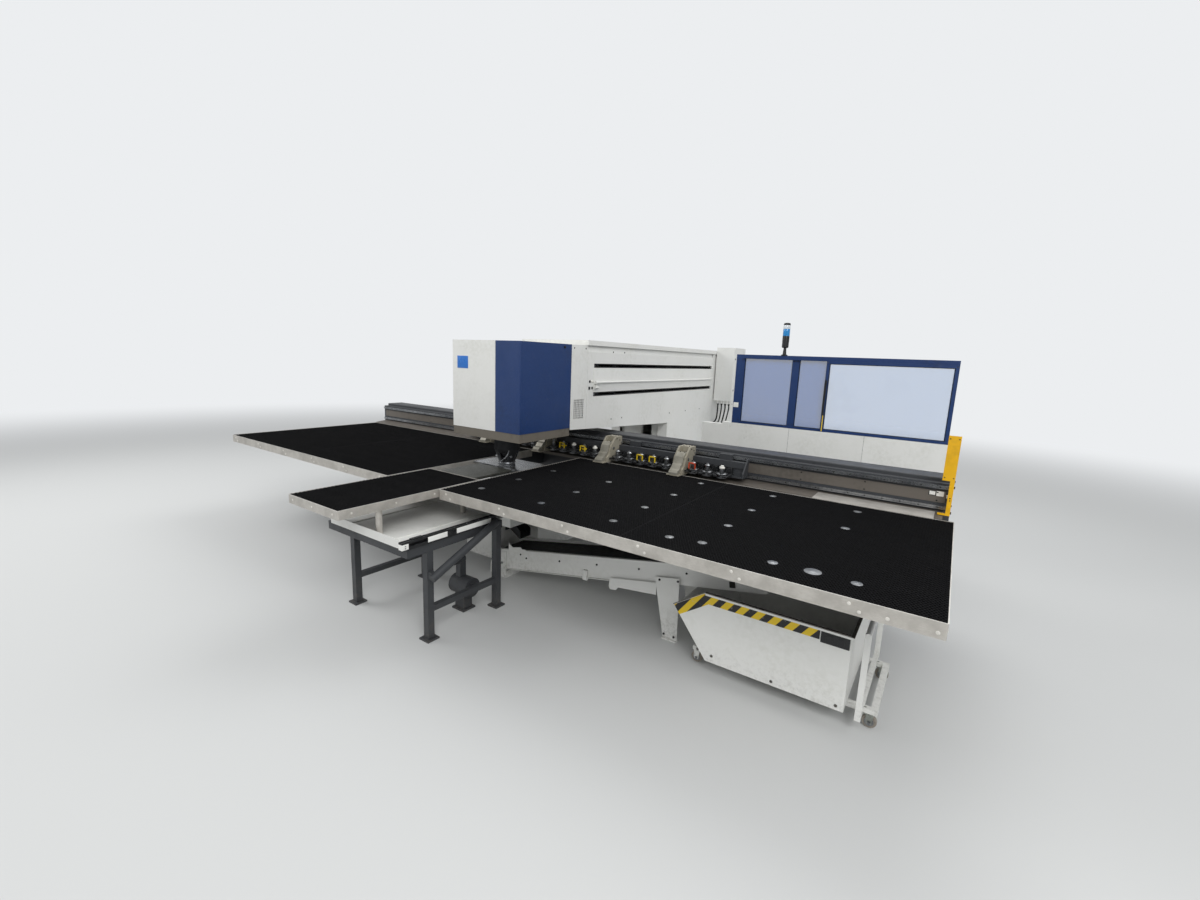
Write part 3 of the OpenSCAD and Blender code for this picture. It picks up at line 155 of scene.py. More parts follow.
def noise(tree, place, size_mm, detail=2.0, rough=0.5):
    """Noise whose blotches are size_mm across."""
    return add(tree, "ShaderNodeTexNoise", {"Scale": per_metre(size_mm), "Detail": detail,
               "Roughness": rough}, {"Vector": place}).outputs[0]


def ramp(tree, value, low, high, to_low=0.0, to_high=1.0):
    return add(tree, "ShaderNodeMapRange", {"From Min": low, "From Max": high, "To Min": to_low,
               "To Max": to_high, "interpolation_type": "SMOOTHSTEP"}, {"Value": value}).outputs[0]


def times(tree, a, b):
    return add(tree, "ShaderNodeMath", {"operation": "MULTIPLY"}, {0: a, 1: b}).outputs[0]


def tint(tree, share, first, second):
    """Colour that goes from first to second with share; each is a hex value or a socket."""
    made = add(tree, "ShaderNodeMix", {"data_type": "RGBA"}, {0: share})
    for number, side in ((6, first), (7, second)):
        if isinstance(side, str):
            made.inputs[number].default_value = linear(side)
        else:
            tree.links.new(side, made.inputs[number])
    return made.outputs[2]


def edge_wear(tree, radius_mm):
    """1 on sharp edges, where handling rubs a finish, and 0 on flats."""
    round_off = add(tree, "ShaderNodeBevel", {"samples": 4, "Radius": radius_mm / 1000})
    flat = add(tree, "ShaderNodeNewGeometry").outputs["Normal"]
    turn = add(tree, "ShaderNodeVectorMath", {"operation": "DOT_PRODUCT"},
               {0: round_off.outputs[0], 1: flat}).outputs["Value"]
    return ramp(tree, turn, 0.995, 0.8)


def close(tree, colour, rough, bump=None, **sockets):
    """Shader and output. rough is a number or a socket, bump is (height socket, strength, depth in mm)."""
    settings = {key.replace("_", " "): value for key, value in sockets.items()}
    links = {}
    for key, value in (("Base Color", colour), ("Roughness", rough)):
        if isinstance(value, str):
            settings[key] = linear(value)
        elif isinstance(value, (int, float)):
            settings[key] = value
        else:
            links[key] = value
    if bump:
        height, strength, depth = bump
        bent = add(tree, "ShaderNodeBump", {"Strength": strength, "Distance": depth / 1000},
                   {"Height": height})
        links["Normal"] = bent.outputs[0]
    shader = add(tree, "ShaderNodeBsdfPrincipled", settings, links)
    add(tree, "ShaderNodeOutputMaterial", {}, {0: shader.outputs[0]})


def powder_coat(name, main, shade, worn, roughness=0.42, speckle=0.0, floor_dirt=True, wear=0.7):
    """Powder coated sheet steel: orange peel, faint patches, grime in blotches and rubbed edges."""
    material, tree, place = new_finish(name)
    peel = noise(tree, place, 3.0, 3.0)
    patch = ramp(tree, noise(tree, place, 420, 4.0, 0.6), 0.4, 0.72)
    colour = tint(tree, times(tree, patch, ramp(tree, noise(tree, place, 34, 3.0), 0.3, 0.7)), main, shade)
    if speckle:
        grain = ramp(tree, noise(tree, place, 2.6, 1.0), 0.5, 0.66, 0.0, speckle)
        colour = tint(tree, grain, colour, worn)
    smear = times(tree, ramp(tree, noise(tree, place, 90, 5.0, 0.7), 0.6, 0.78),
                  ramp(tree, noise(tree, place, 9, 3.0), 0.4, 0.62, 0.0, 0.22))
    colour = tint(tree, smear, colour, "#77726a")
    if floor_dirt:
        height = add(tree, "ShaderNodeSeparateXYZ", {}, {0: place}).outputs["Z"]
        low = times(tree, ramp(tree, height, 0.3, 0.0, 0.0, 0.75),
                    ramp(tree, noise(tree, place, 34, 6.0, 0.75), 0.44, 0.72, 0.04, 0.6))
        colour = tint(tree, low, colour, "#6b645a")
    rub = times(tree, edge_wear(tree, 2.5),
                ramp(tree, noise(tree, place, 26, 4.0, 0.7), 0.46, 0.62, 0.0, wear))
    colour = tint(tree, rub, colour, worn)
    rough = ramp(tree, noise(tree, place, 140, 3.0), 0.3, 0.7, roughness - 0.05, roughness + 0.12)
    close(tree, colour, rough, (peel, 0.12, 0.25))
    return material


def worked_steel(name, main, shade, roughness, grain_mm=1.6, stretch=(1.0, 14.0, 14.0), metal=1.0, rust=0.0,
                 edge="#c9cacb"):
    """Steel with fine tool marks along one way, a film of oil and dust, and bright edges."""
    material, tree, place = new_finish(name)
    along = add(tree, "ShaderNodeMapping", {"Scale": stretch}, {"Vector": place}).outputs[0]
    marks = noise(tree, along, grain_mm * 14, 4.0, 0.6)
    film = ramp(tree, noise(tree, place, 120, 4.0, 0.6), 0.35, 0.7)
    colour = tint(tree, film, main, shade)
    colour = tint(tree, ramp(tree, marks, 0.42, 0.62, 0.0, 0.35), colour, shade)
    if rust:
        spots = times(tree, ramp(tree, noise(tree, place, 70, 6.0, 0.75), 0.6, 0.74),
                      ramp(tree, noise(tree, place, 6, 3.0), 0.4, 0.6, 0.0, rust))
        colour = tint(tree, spots, colour, "#6a4a32")
    rub = times(tree, edge_wear(tree, 1.5), ramp(tree, marks, 0.4, 0.6, 0.2, 0.8))
    colour = tint(tree, rub, colour, edge)
    rough = ramp(tree, marks, 0.3, 0.7, roughness - 0.08, roughness + 0.12)
    close(tree, colour, rough, (marks, 0.1, 0.15), Metallic=metal)
    return material


def moulded_plastic(name, main, shade, roughness=0.5, grain_mm=1.2):
    """Moulded plastic or rubber: fine grain from the tool, and dust that greys it in patches."""
    material, tree, place = new_finish(name)
    grain = noise(tree, place, grain_mm, 2.0)
    dust = times(tree, ramp(tree, noise(tree, place, 80, 5.0, 0.65), 0.45, 0.75),
                 ramp(tree, noise(tree, place, 7, 3.0), 0.3, 0.7))
    colour = tint(tree, dust, main, shade)
    rough = ramp(tree, noise(tree, place, 40, 3.0), 0.3, 0.7, roughness - 0.06, roughness + 0.1)
    close(tree, colour, rough, (grain, 0.25, 0.2))
    return material


def clear_sheet(name, main, clearness):
    """Extruded polycarbonate sheet, tinted in the mass, with faint dust."""
    material, tree, place = new_finish(name)
    dust = ramp(tree, noise(tree, place, 260, 4.0, 0.5), 0.45, 0.8, 0.01, 0.05)
    body = add(tree, "ShaderNodeBsdfPrincipled", {"Base Color": linear(main), "Roughness": 0.12,
               "IOR": 1.585, "Alpha": clearness})
    haze = add(tree, "ShaderNodeBsdfDiffuse", {"Color": linear("#b9c4d2")})
    mix = add(tree, "ShaderNodeMixShader", {}, {0: dust, 1: body.outputs[0], 2: haze.outputs[0]})
    add(tree, "ShaderNodeOutputMaterial", {}, {0: mix.outputs[0]})
    return material


def bristle_bed(name):
    """Black polyamide bristles seen from above: rows of tufts, drawn 16 mm apart so that they show."""
    material, tree, place = new_finish(name)
    tuft = add(tree, "ShaderNodeTexVoronoi", {"Scale": per_metre(16), "Randomness": 0.25},
               {"Vector": place}).outputs["Distance"]
    # Darker colour in the gaps between tufts: painted shade where the bristles shadow each other.
    painted_gap_shade = ramp(tree, tuft, 0.2, 0.62)
    colour = tint(tree, painted_gap_shade, "#121214", "#080809")
    lint = times(tree, ramp(tree, noise(tree, place, 300, 5.0, 0.6), 0.5, 0.75),
                 ramp(tree, noise(tree, place, 8, 2.0), 0.5, 0.7, 0.0, 0.35))
    colour = tint(tree, lint, colour, "#2c2b29")
    close(tree, colour, 0.9, (tuft, 0.4, 1.2), Specular_IOR_Level=0.12)
    return material


FINISH = {
    "white_paint": powder_coat("powder_coated_sheet_white", "#e6e6e2", "#dcdcd6", "#a9a69e"),
    "blue_paint": powder_coat("powder_coated_sheet_blue", "#0d3166", "#0b2b59", "#476394", 0.38, 0.22),
    "brown_paint": powder_coat("powder_coated_sheet_umber", "#6f695f", "#615b52", "#a09a8e", 0.5),
    "beam_paint": powder_coat("enamelled_beam_umber_grey", "#655f58", "#59544d", "#8f8a80", 0.5),
    "dark_paint": powder_coat("enamelled_casting_dark_grey", "#3b3d40", "#323337", "#7b7b79", 0.48, wear=0.3),
    "black_paint": powder_coat("powder_coated_sheet_black", "#1b1c1e", "#26272a", "#6f6f6d", 0.4),
    "yellow_paint": powder_coat("enamelled_tube_yellow", "#eab308", "#d6a207", "#7a6a35", 0.36),
    "machined_steel": worked_steel("turned_steel", "#9c9ea0", "#77797b", 0.38),
    "ground_steel": worked_steel("ground_steel", "#b4b6b8", "#94969a", 0.26, 0.9),
    "black_steel": worked_steel("blackened_tool_steel", "#3a3b3d", "#2a2b2c", 0.42, 1.2, (1, 6, 6), 0.6),
    "trim_steel": worked_steel("rolled_edge_trim", "#c6c2bb", "#aeaaa3", 0.4, 1.4, (1.0, 10.0, 10.0),
                               0.45, 0.2, "#f0ede6"),
    "black_brush": bristle_bed("black_polyamide_bristles"),
    "black_rubber": moulded_plastic("ribbed_conveyor_rubber", "#1a1a1b", "#34332f", 0.7, 2.5),
    "blue_glass": clear_sheet("tinted_polycarbonate_blue", "#2f66b0", 0.46),
    "clear_glass": clear_sheet("tinted_polycarbonate_pale", "#7fa6d8", 0.24),
    "black_plastic": moulded_plastic("moulded_black_plastic", "#17181a", "#2c2d2f", 0.42),
    "zinc_steel": worked_steel("zinc_plated_steel", "#b9bcb6", "#93968f", 0.34, 2.0, (4, 4, 4), 0.9),
    "grey_tyre": moulded_plastic("cast_polyurethane_tread", "#8d867c", "#6f685e", 0.6),
}

OF_ITS_OWN = {
    "clamp_bodies": powder_coat("enamelled_clamp_beige_grey", "#a19b8b", "#8b8575", "#c4beae", 0.45),
    "clamp_jaws": worked_steel("cast_clamp_jaw", "#a8a497", "#8d897d", 0.48, 1.2, (3, 3, 3), 0.35, 0.2),
    "chute_flap": worked_steel("worn_flap_plate", "#55564f", "#43443e", 0.4, 1.4, (8, 1, 8), 0.55, 0.2),
}

for part in frame["record"]["subparts"]:
    piece = NODES[part["node"]]
    material = OF_ITS_OWN.get(part["node"]) or FINISH[part["material_slot"]]
    if piece.material_slots:
        for holder in piece.material_slots:
            holder.material = material
    else:
        piece.data.materials.append(material)


# Making pieces

def sheet_bar(bm, low, high, soften=0.0008):
    """Bar between two corners with softened edges."""
    made = bmesh.ops.create_cube(bm, size=1.0)["verts"]
    size = [max(high[i] - low[i], 1e-5) for i in range(3)]
    for v in made:
        v.co = Vector([low[i] + (v.co[i] + 0.5) * size[i] for i in range(3)])
    soften = min(soften, min(size) * 0.3)
    if soften > 0:
        edges = list(dict.fromkeys(e for v in made for e in v.link_edges))
        bmesh.ops.bevel(bm, geom=edges, offset=soften, segments=2, profile=0.6, affect="EDGES")


def turned(bm, profile, place=(0, 0, 0), axis="Z", sides=24):
    """Turned shape: profile is (radius, distance along the axis) pairs, closed where it meets the axis."""
    way = {"Z": Matrix.Identity(3), "X": Matrix(((0, 0, 1), (1, 0, 0), (0, 1, 0)))}[axis]
    rings = []
    for radius, along in profile:
        if radius < 1e-6:
            rings.append([bm.verts.new(way @ Vector((0, 0, along)) + Vector(place))])
            continue
        rings.append([bm.verts.new(way @ Vector((radius * math.cos(a), radius * math.sin(a), along))
                                   + Vector(place))
                      for a in (2 * math.pi * k / sides for k in range(sides))])
    for lower, upper in zip(rings, rings[1:]):
        for k in range(sides):
            n = (k + 1) % sides
            corners = [lower[k % len(lower)], lower[n % len(lower)], upper[n % len(upper)],
                       upper[k % len(upper)]]
            kept = list(dict.fromkeys(corners))
            if len(kept) > 2:
                bm.faces.new(kept)


def pressed(bm, outline, start, end):
    """Flat outline of (u, v) points in the plane across an axis, pulled from start to end along it.
    The axis is the only coordinate in which start and end differ, and u, v are the other two."""
    axis = next(i for i in range(3) if abs(start[i] - end[i]) > 1e-9)
    others = [i for i in range(3) if i != axis]

    def at(point, base):
        co = list(base)
        co[others[0]] += point[0]
        co[others[1]] += point[1]
        return bm.verts.new(co)
    near = [at(p, start) for p in outline]
    far = [at(p, end) for p in outline]
    bm.faces.new(near)
    bm.faces.new(list(reversed(far)))
    for k in range(len(outline)):
        n = (k + 1) % len(outline)
        bm.faces.new((near[k], near[n], far[n], far[k]))


def hose(bm, points, radius, sides=10, steps=8):
    """Round hose or rod through points, on a smooth curve, closed at its ends."""
    pts = [Vector(p) for p in points]
    path = []
    for k in range(len(pts) - 1):
        before, a, b, after = pts[max(k - 1, 0)], pts[k], pts[k + 1], pts[min(k + 2, len(pts) - 1)]
        parts = steps if len(pts) > 2 else 1
        for s in range(parts):
            t = s / parts
            path.append(0.5 * ((2 * a) + (b - before) * t + (2 * before - 5 * a + 4 * b - after) * t ** 2
                               + (3 * a - before - 3 * b + after) * t ** 3))
    path.append(pts[-1])
    side = None
    rings = []
    for k, p in enumerate(path):
        way = (path[min(k + 1, len(path) - 1)] - path[max(k - 1, 0)]).normalized()
        if side is None:
            side = way.orthogonal().normalized()
        side = (side - way * side.dot(way)).normalized()
        up = way.cross(side)
        rings.append([bm.verts.new(p + radius * (math.cos(a) * side + math.sin(a) * up))
                      for a in (2 * math.pi * j / sides for j in range(sides))])
    for lower, upper in zip(rings, rings[1:]):
        for j in range(sides):
            n = (j + 1) % sides
            bm.faces.new((lower[j], lower[n], upper[n], upper[j]))
    bm.faces.new(list(reversed(rings[0])))
    bm.faces.new(rings[-1])


def finished_mesh(bm, name, smooth_deg=32):
    """Mesh with doubles merged, faces outwards and only the sharp edges left sharp."""
    bmesh.ops.remove_doubles(bm, verts=bm.verts, dist=1e-6)
    bmesh.ops.recalc_face_normals(bm, faces=bm.faces)
    mesh = bpy.data.meshes.new(name)
    bm.to_mesh(mesh)
    bm.free()
    for face in mesh.polygons:
        face.use_smooth = True
    mesh.set_sharp_from_angle(angle=math.radians(smooth_deg))
    return mesh


def piece_of(name, bm, body, finish):
    """A finished piece of the machine that moves with a body."""
    mesh = finished_mesh(bm, name)
    mesh.materials.append(finish)
    piece = bpy.data.objects.new(name, mesh)
    scene.collection.objects.link(piece)
    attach(piece, body)
    return piece


def spread_tree():
    """Geometry Nodes: one shape set on every point of a mesh, its Z axis turned to the point's facing."""
    tree = bpy.data.node_groups.new("shape_on_points", "GeometryNodeTree")
    sockets = [("Points", "NodeSocketGeometry", None), ("Shape", "NodeSocketObject", None),
               ("Finish", "NodeSocketMaterial", None), ("Size", "NodeSocketFloat", 1.0),
               ("Size Spread", "NodeSocketFloat", 0.0), ("Turn Spread", "NodeSocketFloat", 0.0),
               ("Seed", "NodeSocketInt", 1)]
    for name, kind, value in sockets:
        made = tree.interface.new_socket(name, in_out="INPUT", socket_type=kind)
        if value is not None:
            made.default_value = value
    tree.interface.new_socket("Geometry", in_out="OUTPUT", socket_type="NodeSocketGeometry")
    given = add(tree, "NodeGroupInput")
    facing = add(tree, "GeometryNodeInputNamedAttribute", {"data_type": "FLOAT_VECTOR", "Name": "facing"})

    def drawn(low, high):
        return add(tree, "FunctionNodeRandomValue", {"data_type": "FLOAT"},
                   {2: low, 3: high, "Seed": given.outputs["Seed"]}).outputs[1]

    least = add(tree, "ShaderNodeMath", {"operation": "MULTIPLY", 1: -1.0}, {0: given.outputs["Turn Spread"]})
    about = add(tree, "ShaderNodeCombineXYZ", {},
                {"Z": drawn(least.outputs[0], given.outputs["Turn Spread"])})
    first = add(tree, "FunctionNodeEulerToRotation", {}, {0: about.outputs[0]})
    aligned = add(tree, "FunctionNodeAlignRotationToVector", {"axis": "Z"},
                  {"Rotation": first.outputs[0], "Vector": facing.outputs[0]})
    smallest, largest = (add(tree, "ShaderNodeMath", {"operation": sign},
                             {0: given.outputs["Size"], 1: given.outputs["Size Spread"]}).outputs[0]
                         for sign in ("SUBTRACT", "ADD"))
    shape = add(tree, "GeometryNodeObjectInfo", {}, {0: given.outputs["Shape"]})
    placed = add(tree, "GeometryNodeInstanceOnPoints", {},
                 {"Points": given.outputs["Points"], "Instance": shape.outputs["Geometry"],
                  "Rotation": aligned.outputs[0], "Scale": drawn(smallest, largest)})
    real = add(tree, "GeometryNodeRealizeInstances", {}, {0: placed.outputs[0]})
    coated = add(tree, "GeometryNodeSetMaterial", {},
                 {"Geometry": real.outputs[0], "Material": given.outputs["Finish"]})
    add(tree, "NodeGroupOutput", {}, {0: coated.outputs[0]})
    return tree


SPREAD = spread_tree()


def spread(name, shape, places, body, finish, size=1.0, size_spread=0.0, turn=0.0, seed=1, smooth_deg=32):
    """Sets a small shape at each (place, facing) and makes one plain piece of them that moves with body."""
    template = bpy.data.objects.new(name + "_shape", finished_mesh(shape, name + "_shape", smooth_deg))
    points = bpy.data.meshes.new(name)
    points.from_pydata([p for p, _ in places], [], [])
    facing = points.attributes.new("facing", "FLOAT_VECTOR", "POINT")
    facing.data.foreach_set("vector", [c for _, f in places for c in f])
    holder = bpy.data.objects.new(name + "_points", points)
    for o in (template, holder):
        scene.collection.objects.link(o)
    step = holder.modifiers.new("spread", "NODES")
    step.node_group = SPREAD
    values = {"Shape": template, "Finish": finish, "Size": size, "Size Spread": size_spread,
              "Turn Spread": turn, "Seed": seed}
    for item in SPREAD.interface.items_tree:
        if item.name in values:
            step[item.identifier] = values[item.name]
    graph = bpy.context.evaluated_depsgraph_get()
    mesh = bpy.data.meshes.new_from_object(holder.evaluated_get(graph))
    mesh.name = name
    piece = bpy.data.objects.new(name, mesh)
    scene.collection.objects.link(piece)
    for o in (holder, template):
        bpy.data.objects.remove(o)
    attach(piece, body)
    return piece


UP, FRONT, BACK, RIGHT, LEFT = (0, 0, 1), (0, -1, 0), (0, 1, 0), (1, 0, 0), (-1, 0, 0)
SIDES = ((1, RIGHT), (-1, LEFT))
# How deep a screw's head is sunk into what it holds
SUNK = 0.0008


def rows(facing, *values):
    """Places where the given x, y and z values cross, all with one facing."""
    return [(place, facing) for place in itertools.product(*values)]


def circle(centre, radius, count, first_deg=0.0):
    """Places round a circle about Z, each with its facing outwards."""
    places = []
    for k in range(count):
        a = math.radians(first_deg + 360 * k / count)
        out = (math.cos(a), math.sin(a), 0)
        places.append(((centre[0] + radius * out[0], centre[1] + radius * out[1], centre[2]), out))
    return places


def upwards(places):
    return [(place, UP) for place, _ in places]


def beside(middles, away):
    return [middle + step for middle in middles for step in (-away, away)]


def bars(name, body, finish, slot, *corners):
    """One piece of bars, each (low corner, high corner, softening)."""
    bm = bmesh.new()
    for low, high, soften in corners:
        sheet_bar(bm, low, high, soften)
    return piece_of(name, bm, body, finish)


def lathe(*profile, place=(0, 0, 0), axis="Z", sides=24):
    """New mesh with one turned shape."""
    bm = bmesh.new()
    turned(bm, profile, place, axis, sides)
    return bm


def ring(inner, outer, low, high, sides=32):
    """Plain ring about Z."""
    return lathe((inner, low), (outer, low), (outer, high), (inner, high), (inner, low), sides=sides)


def pan_head(radius, height):
    """Domed head of a rivet or pan head screw, sunk a little into what it holds."""
    return lathe((0, -SUNK), (radius, -SUNK), (radius, height * 0.35), (radius * 0.86, height * 0.75),
                 (radius * 0.5, height), (0, height * 1.04), sides=12)


def cap_screw(radius, height):
    """Socket head cap screw with its socket."""
    return lathe((0, -SUNK), (radius, -SUNK), (radius, height * 0.86), (radius * 0.9, height),
                 (radius * 0.58, height), (radius * 0.52, height * 0.45), (0, height * 0.45), sides=12)


def hex_head(radius, height):
    """Hexagon head screw on its washer."""
    washer, top = radius * 1.35, height * 0.18
    bm = lathe((0, -SUNK), (washer, -SUNK), (washer, top), (radius * 1.02, top), sides=12)
    turned(bm, [(radius * 1.02, top), (radius, height * 0.9), (radius * 0.8, height), (0, height)], sides=6)
    return bm


# Brush tables

TABLE_Z = 0.945


def bristle_tuft():
    """One tuft of a table brush: a bundle that spreads slightly towards its cut ends."""
    bm = lathe((0.004, -0.0006), (0.0056, 0.0042), sides=5)
    bm.faces.new([v for v in bm.verts if v.co.z > 0])
    return bm


def tuft_places(low, high, pitch, keep_out):
    """Staggered rows of tufts, with room round the ball units."""
    places = []
    row = 0
    y = low[1]
    while y <= high[1]:
        x = low[0] + (pitch / 2 if row % 2 else 0)
        while x <= high[0]:
            if all((x - bx) ** 2 + (y - by) ** 2 > r * r for bx, by, r in keep_out):
                places.append(((x, y, TABLE_Z), UP))
            x += pitch
        y += pitch * 0.866
        row += 1
    return places


# Ball units: x, y and the room that the tufts leave round each
BALLS = [(x, y, 0.034) for x in (0.513, 1.105) for y in (-0.79, -0.39, 0.055)]
BALLS += [(x, y, 0.034) for x in (1.7, 2.3) for y in (-0.79, -0.39, 0.055, 0.555)]
BALLS += [(2.9, 0.063, 0.034), (2.9, 0.541, 0.034), (2.706, -0.827, 0.034), (3.102, -0.829, 0.034),
          (2.112, -0.827, 0.034), (2.9, -0.815, 0.052)]

BRISTLES = bristle_bed("black_polyamide_tufts")
for name, low, high, body in (
        ("tufts_right_wing_inner", (0.332, -1.018), (1.876, 0.698), "y_carriage"),
        ("tufts_right_wing_outer", (1.894, -1.018), (3.458, 0.698), "y_carriage"),
        ("tufts_left_wing_inner", (-1.756, -1.018), (-0.332, 0.698), "y_carriage"),
        ("tufts_left_wing_outer", (-3.198, -1.018), (-1.774, 0.698), "y_carriage"),
        ("tufts_middle_table", (-0.298, -1.778), (0.298, -0.632), "machine")):
    spread(name, bristle_tuft(), tuft_places(low, high, 0.017, BALLS), body, BRISTLES,
           size_spread=0.08, turn=math.pi, seed=7, smooth_deg=20)

# Leaning tufts that show against the light trim along the middle table's edges
EDGE_TUFT_Z = TABLE_Z + 0.0002
spread("middle_table_edge_tufts", bristle_tuft(),
       [((-0.294 + 0.028 * k, -1.7835, EDGE_TUFT_Z), (0.25, -0.55, 0.8)) for k in range(22)]
       + [((s * 0.3035, -1.77 + 0.028 * k, EDGE_TUFT_Z), (s * 0.55, 0.2, 0.8))
          for k in range(41) for s in (-1, 1)],
       "machine", BRISTLES, size=0.85, size_spread=0.15, turn=math.pi, seed=3, smooth_deg=20)

# Rivets of the trim round the wings, in pairs along the front
WING_FRONT, WING_RIGHT, WING_LEFT = -1.03, 3.47, -3.21
RIVET = worked_steel("aluminium_rivet", "#e6e3dc", "#cfccc5", 0.34, 1.0, (3, 3, 3), 0.25, 0.0, "#f4f2ee")
spread("trim_rivets", pan_head(0.0085, 0.0035),
       [((first + 0.5406 * k + dx, WING_FRONT, z), FRONT) for first in (0.399, -3.13) for k in range(6)
        for dx, z in ((0, 0.925), (0.044, 0.896))]
       + rows(FRONT, (3.256, 3.438), (WING_FRONT,), (0.901,))
       + [((x, -0.98 + 0.41 * k, 0.901), facing) for x, facing in ((WING_RIGHT, RIGHT), (WING_LEFT, LEFT))
          for k in range(5)], "y_carriage", RIVET)
spread("middle_trim_rivets", pan_head(0.0075, 0.003),
       rows(FRONT, (-0.25, 0, 0.25), (-1.79,), (0.918,))
       + [((s * 0.31, -1.7 + 0.32 * k, 0.918), facing) for k in range(4) for s, facing in SIDES],
       "machine", RIVET)

# Bright strips on the upper lips of the trim: a painted highlight along the trim's top edges
for name, body, runs in (
        ("trim_lips", "y_carriage",
         ((0.3204, -1.0304, 3.4696, -1.0268), (-3.2096, -1.0304, -0.3204, -1.0268),
          (3.4668, -1.0264, 3.4704, 0.7096), (-3.2104, -1.0264, -3.2068, 0.7096))),
        ("middle_trim_lips", "machine",
         ((-0.3096, -1.7904, 0.3096, -1.7868), (0.3068, -1.7864, 0.3104, -0.624),
          (-0.3104, -1.7864, -0.3068, -0.624)))):
    bars(name, body, RIVET, "trim_steel",
         *[((x0, y0, 0.9488), (x1, y1, 0.9504), 0.0005) for x0, y0, x1, y1 in runs])


# Scrap bin

def warning_stripes(name):
    """Retroreflective tape, printed: black and yellow bars 47 mm wide that lean, with rubbed spots."""
    material, tree, place = new_finish(name)
    split = add(tree, "ShaderNodeSeparateXYZ", {}, {0: place})
    lean = add(tree, "ShaderNodeMath", {"operation": "MULTIPLY", 1: 0.75}, {0: split.outputs["Z"]})
    along = add(tree, "ShaderNodeMath", {"operation": "SUBTRACT"},
                {0: split.outputs["X"], 1: lean.outputs[0]})
    count = add(tree, "ShaderNodeMath", {"operation": "MULTIPLY", 1: 1 / 0.095}, {0: along.outputs[0]})
    part = add(tree, "ShaderNodeMath", {"operation": "FRACT"}, {0: count.outputs[0]})
    black = ramp(tree, part.outputs[0], 0.49, 0.51)
    colour = tint(tree, black, "#e2c01c", "#18181a")
    rubbed = times(tree, ramp(tree, noise(tree, place, 30, 5.0, 0.7), 0.6, 0.7),
                   ramp(tree, noise(tree, place, 5, 2.0), 0.4, 0.6, 0.0, 0.7))
    close(tree, tint(tree, rubbed, colour, "#b9b4a6"), 0.35, (noise(tree, place, 2.0), 0.1, 0.1))
    return material


TAPE = warning_stripes("black_yellow_reflective_tape")
STEEL, DARK_STEEL = FINISH["machined_steel"], FINISH["black_steel"]
PLASTIC, WHITE, BLACK = FINISH["black_plastic"], FINISH["white_paint"], FINISH["black_paint"]
RUSTY = worked_steel("bare_steel_edge", "#77736c", "#55504a", 0.5, 1.6, (8, 8, 8), 0.7, 0.7)
DARK_HEAD = worked_steel("blackened_screw", "#3b3a38", "#2a2928", 0.5, 1.2, (3, 3, 3), 0.8)
BIN_SIDE = -0.58

bm = bmesh.new()
pressed(bm, [(2.0575, 0.4145), (2.255, 0.546), (2.262, 0.5405), (2.93, 0.5405), (2.93, 0.485),
             (2.286, 0.485), (2.0975, 0.359)], (0, BIN_SIDE - 0.0012, 0), (0, BIN_SIDE + 0.0002, 0))
piece_of("bin_stripe_band", bm, "bin", TAPE)
bars("bin_hook_plate", "bin", PLASTIC, "black_plastic",
     ((2.936, -0.586, 0.474), (3.082, -0.5798, 0.54), 0.0015),
     *[((x, -0.5885, 0.49), (x + 0.034, -0.5855, 0.526), 0.001) for x in (2.962, 3.022)])

# Rolled edge round the bin's opening, worn bare by the scrap
bm = bmesh.new()
for y0, y1 in ((-0.5915, -0.5755), (0.2355, 0.2515)):
    sheet_bar(bm, (2.262, y0, 0.5535), (3.1015, y1, 0.56), 0.002)
sheet_bar(bm, (3.0845, -0.5915, 0.5535), (3.1015, 0.2515, 0.56), 0.002)
for y0, y1 in ((-0.583, -0.5755), (0.2355, 0.243)):
    pressed(bm, [(2.052, 0.4145), (2.264, 0.556), (2.264, 0.56), (2.05, 0.4185)], (0, y0, 0), (0, y1, 0))
piece_of("bin_rim_edge", bm, "bin", RUSTY)

spread("bin_bolts", hex_head(0.007, 0.005),
       [((x, BIN_SIDE, z), FRONT) for x, z in ((2.33, 0.155), (2.7, 0.135), (3.05, 0.135))]
       + [((2.19, -0.463, 0.097), FRONT)], "bin", RUSTY)

# Hubs and axle nuts of the bin's wheels
FIXED_X, SWIVEL_X = 2.187, 3.209


def on_axle(x, y0, y1):
    return [((x, y0, 0.038), FRONT), ((x, y1, 0.038), BACK)]


for name, body, x, y0, y1 in (("bin_fixed", "bin", FIXED_X, -0.47, 0.13),
                              ("fork_front", "fork_front", SWIVEL_X, -0.47, -0.42),
                              ("fork_back", "fork_back", SWIVEL_X, 0.08, 0.13)):
    spread(name + "_axle_nuts", hex_head(0.0072, 0.0065), on_axle(x, y0, y1), body, STEEL)
for kind, x in (("wheel", SWIVEL_X), ("fixed", FIXED_X)):
    for end, y0, y1 in (("_front", -0.46, -0.43), ("_back", 0.09, 0.12)):
        spread(kind + end + "_hub_discs", ring(0.0085, 0.024, -0.0005, 0.001, 24), on_axle(x, y0, y1),
               kind + end, STEEL)


# Scrap conveyor

SLOPE = math.radians(10.4)
CONVEYOR_SIDE = -0.3


def on_belt(s, h):
    """Place on the conveyor's side: s along it, h square to it, from its lower front corner, in metres."""
    return (0.27 + s * math.cos(SLOPE) - h * math.sin(SLOPE),
            0.107 + s * math.sin(SLOPE) + h * math.cos(SLOPE))


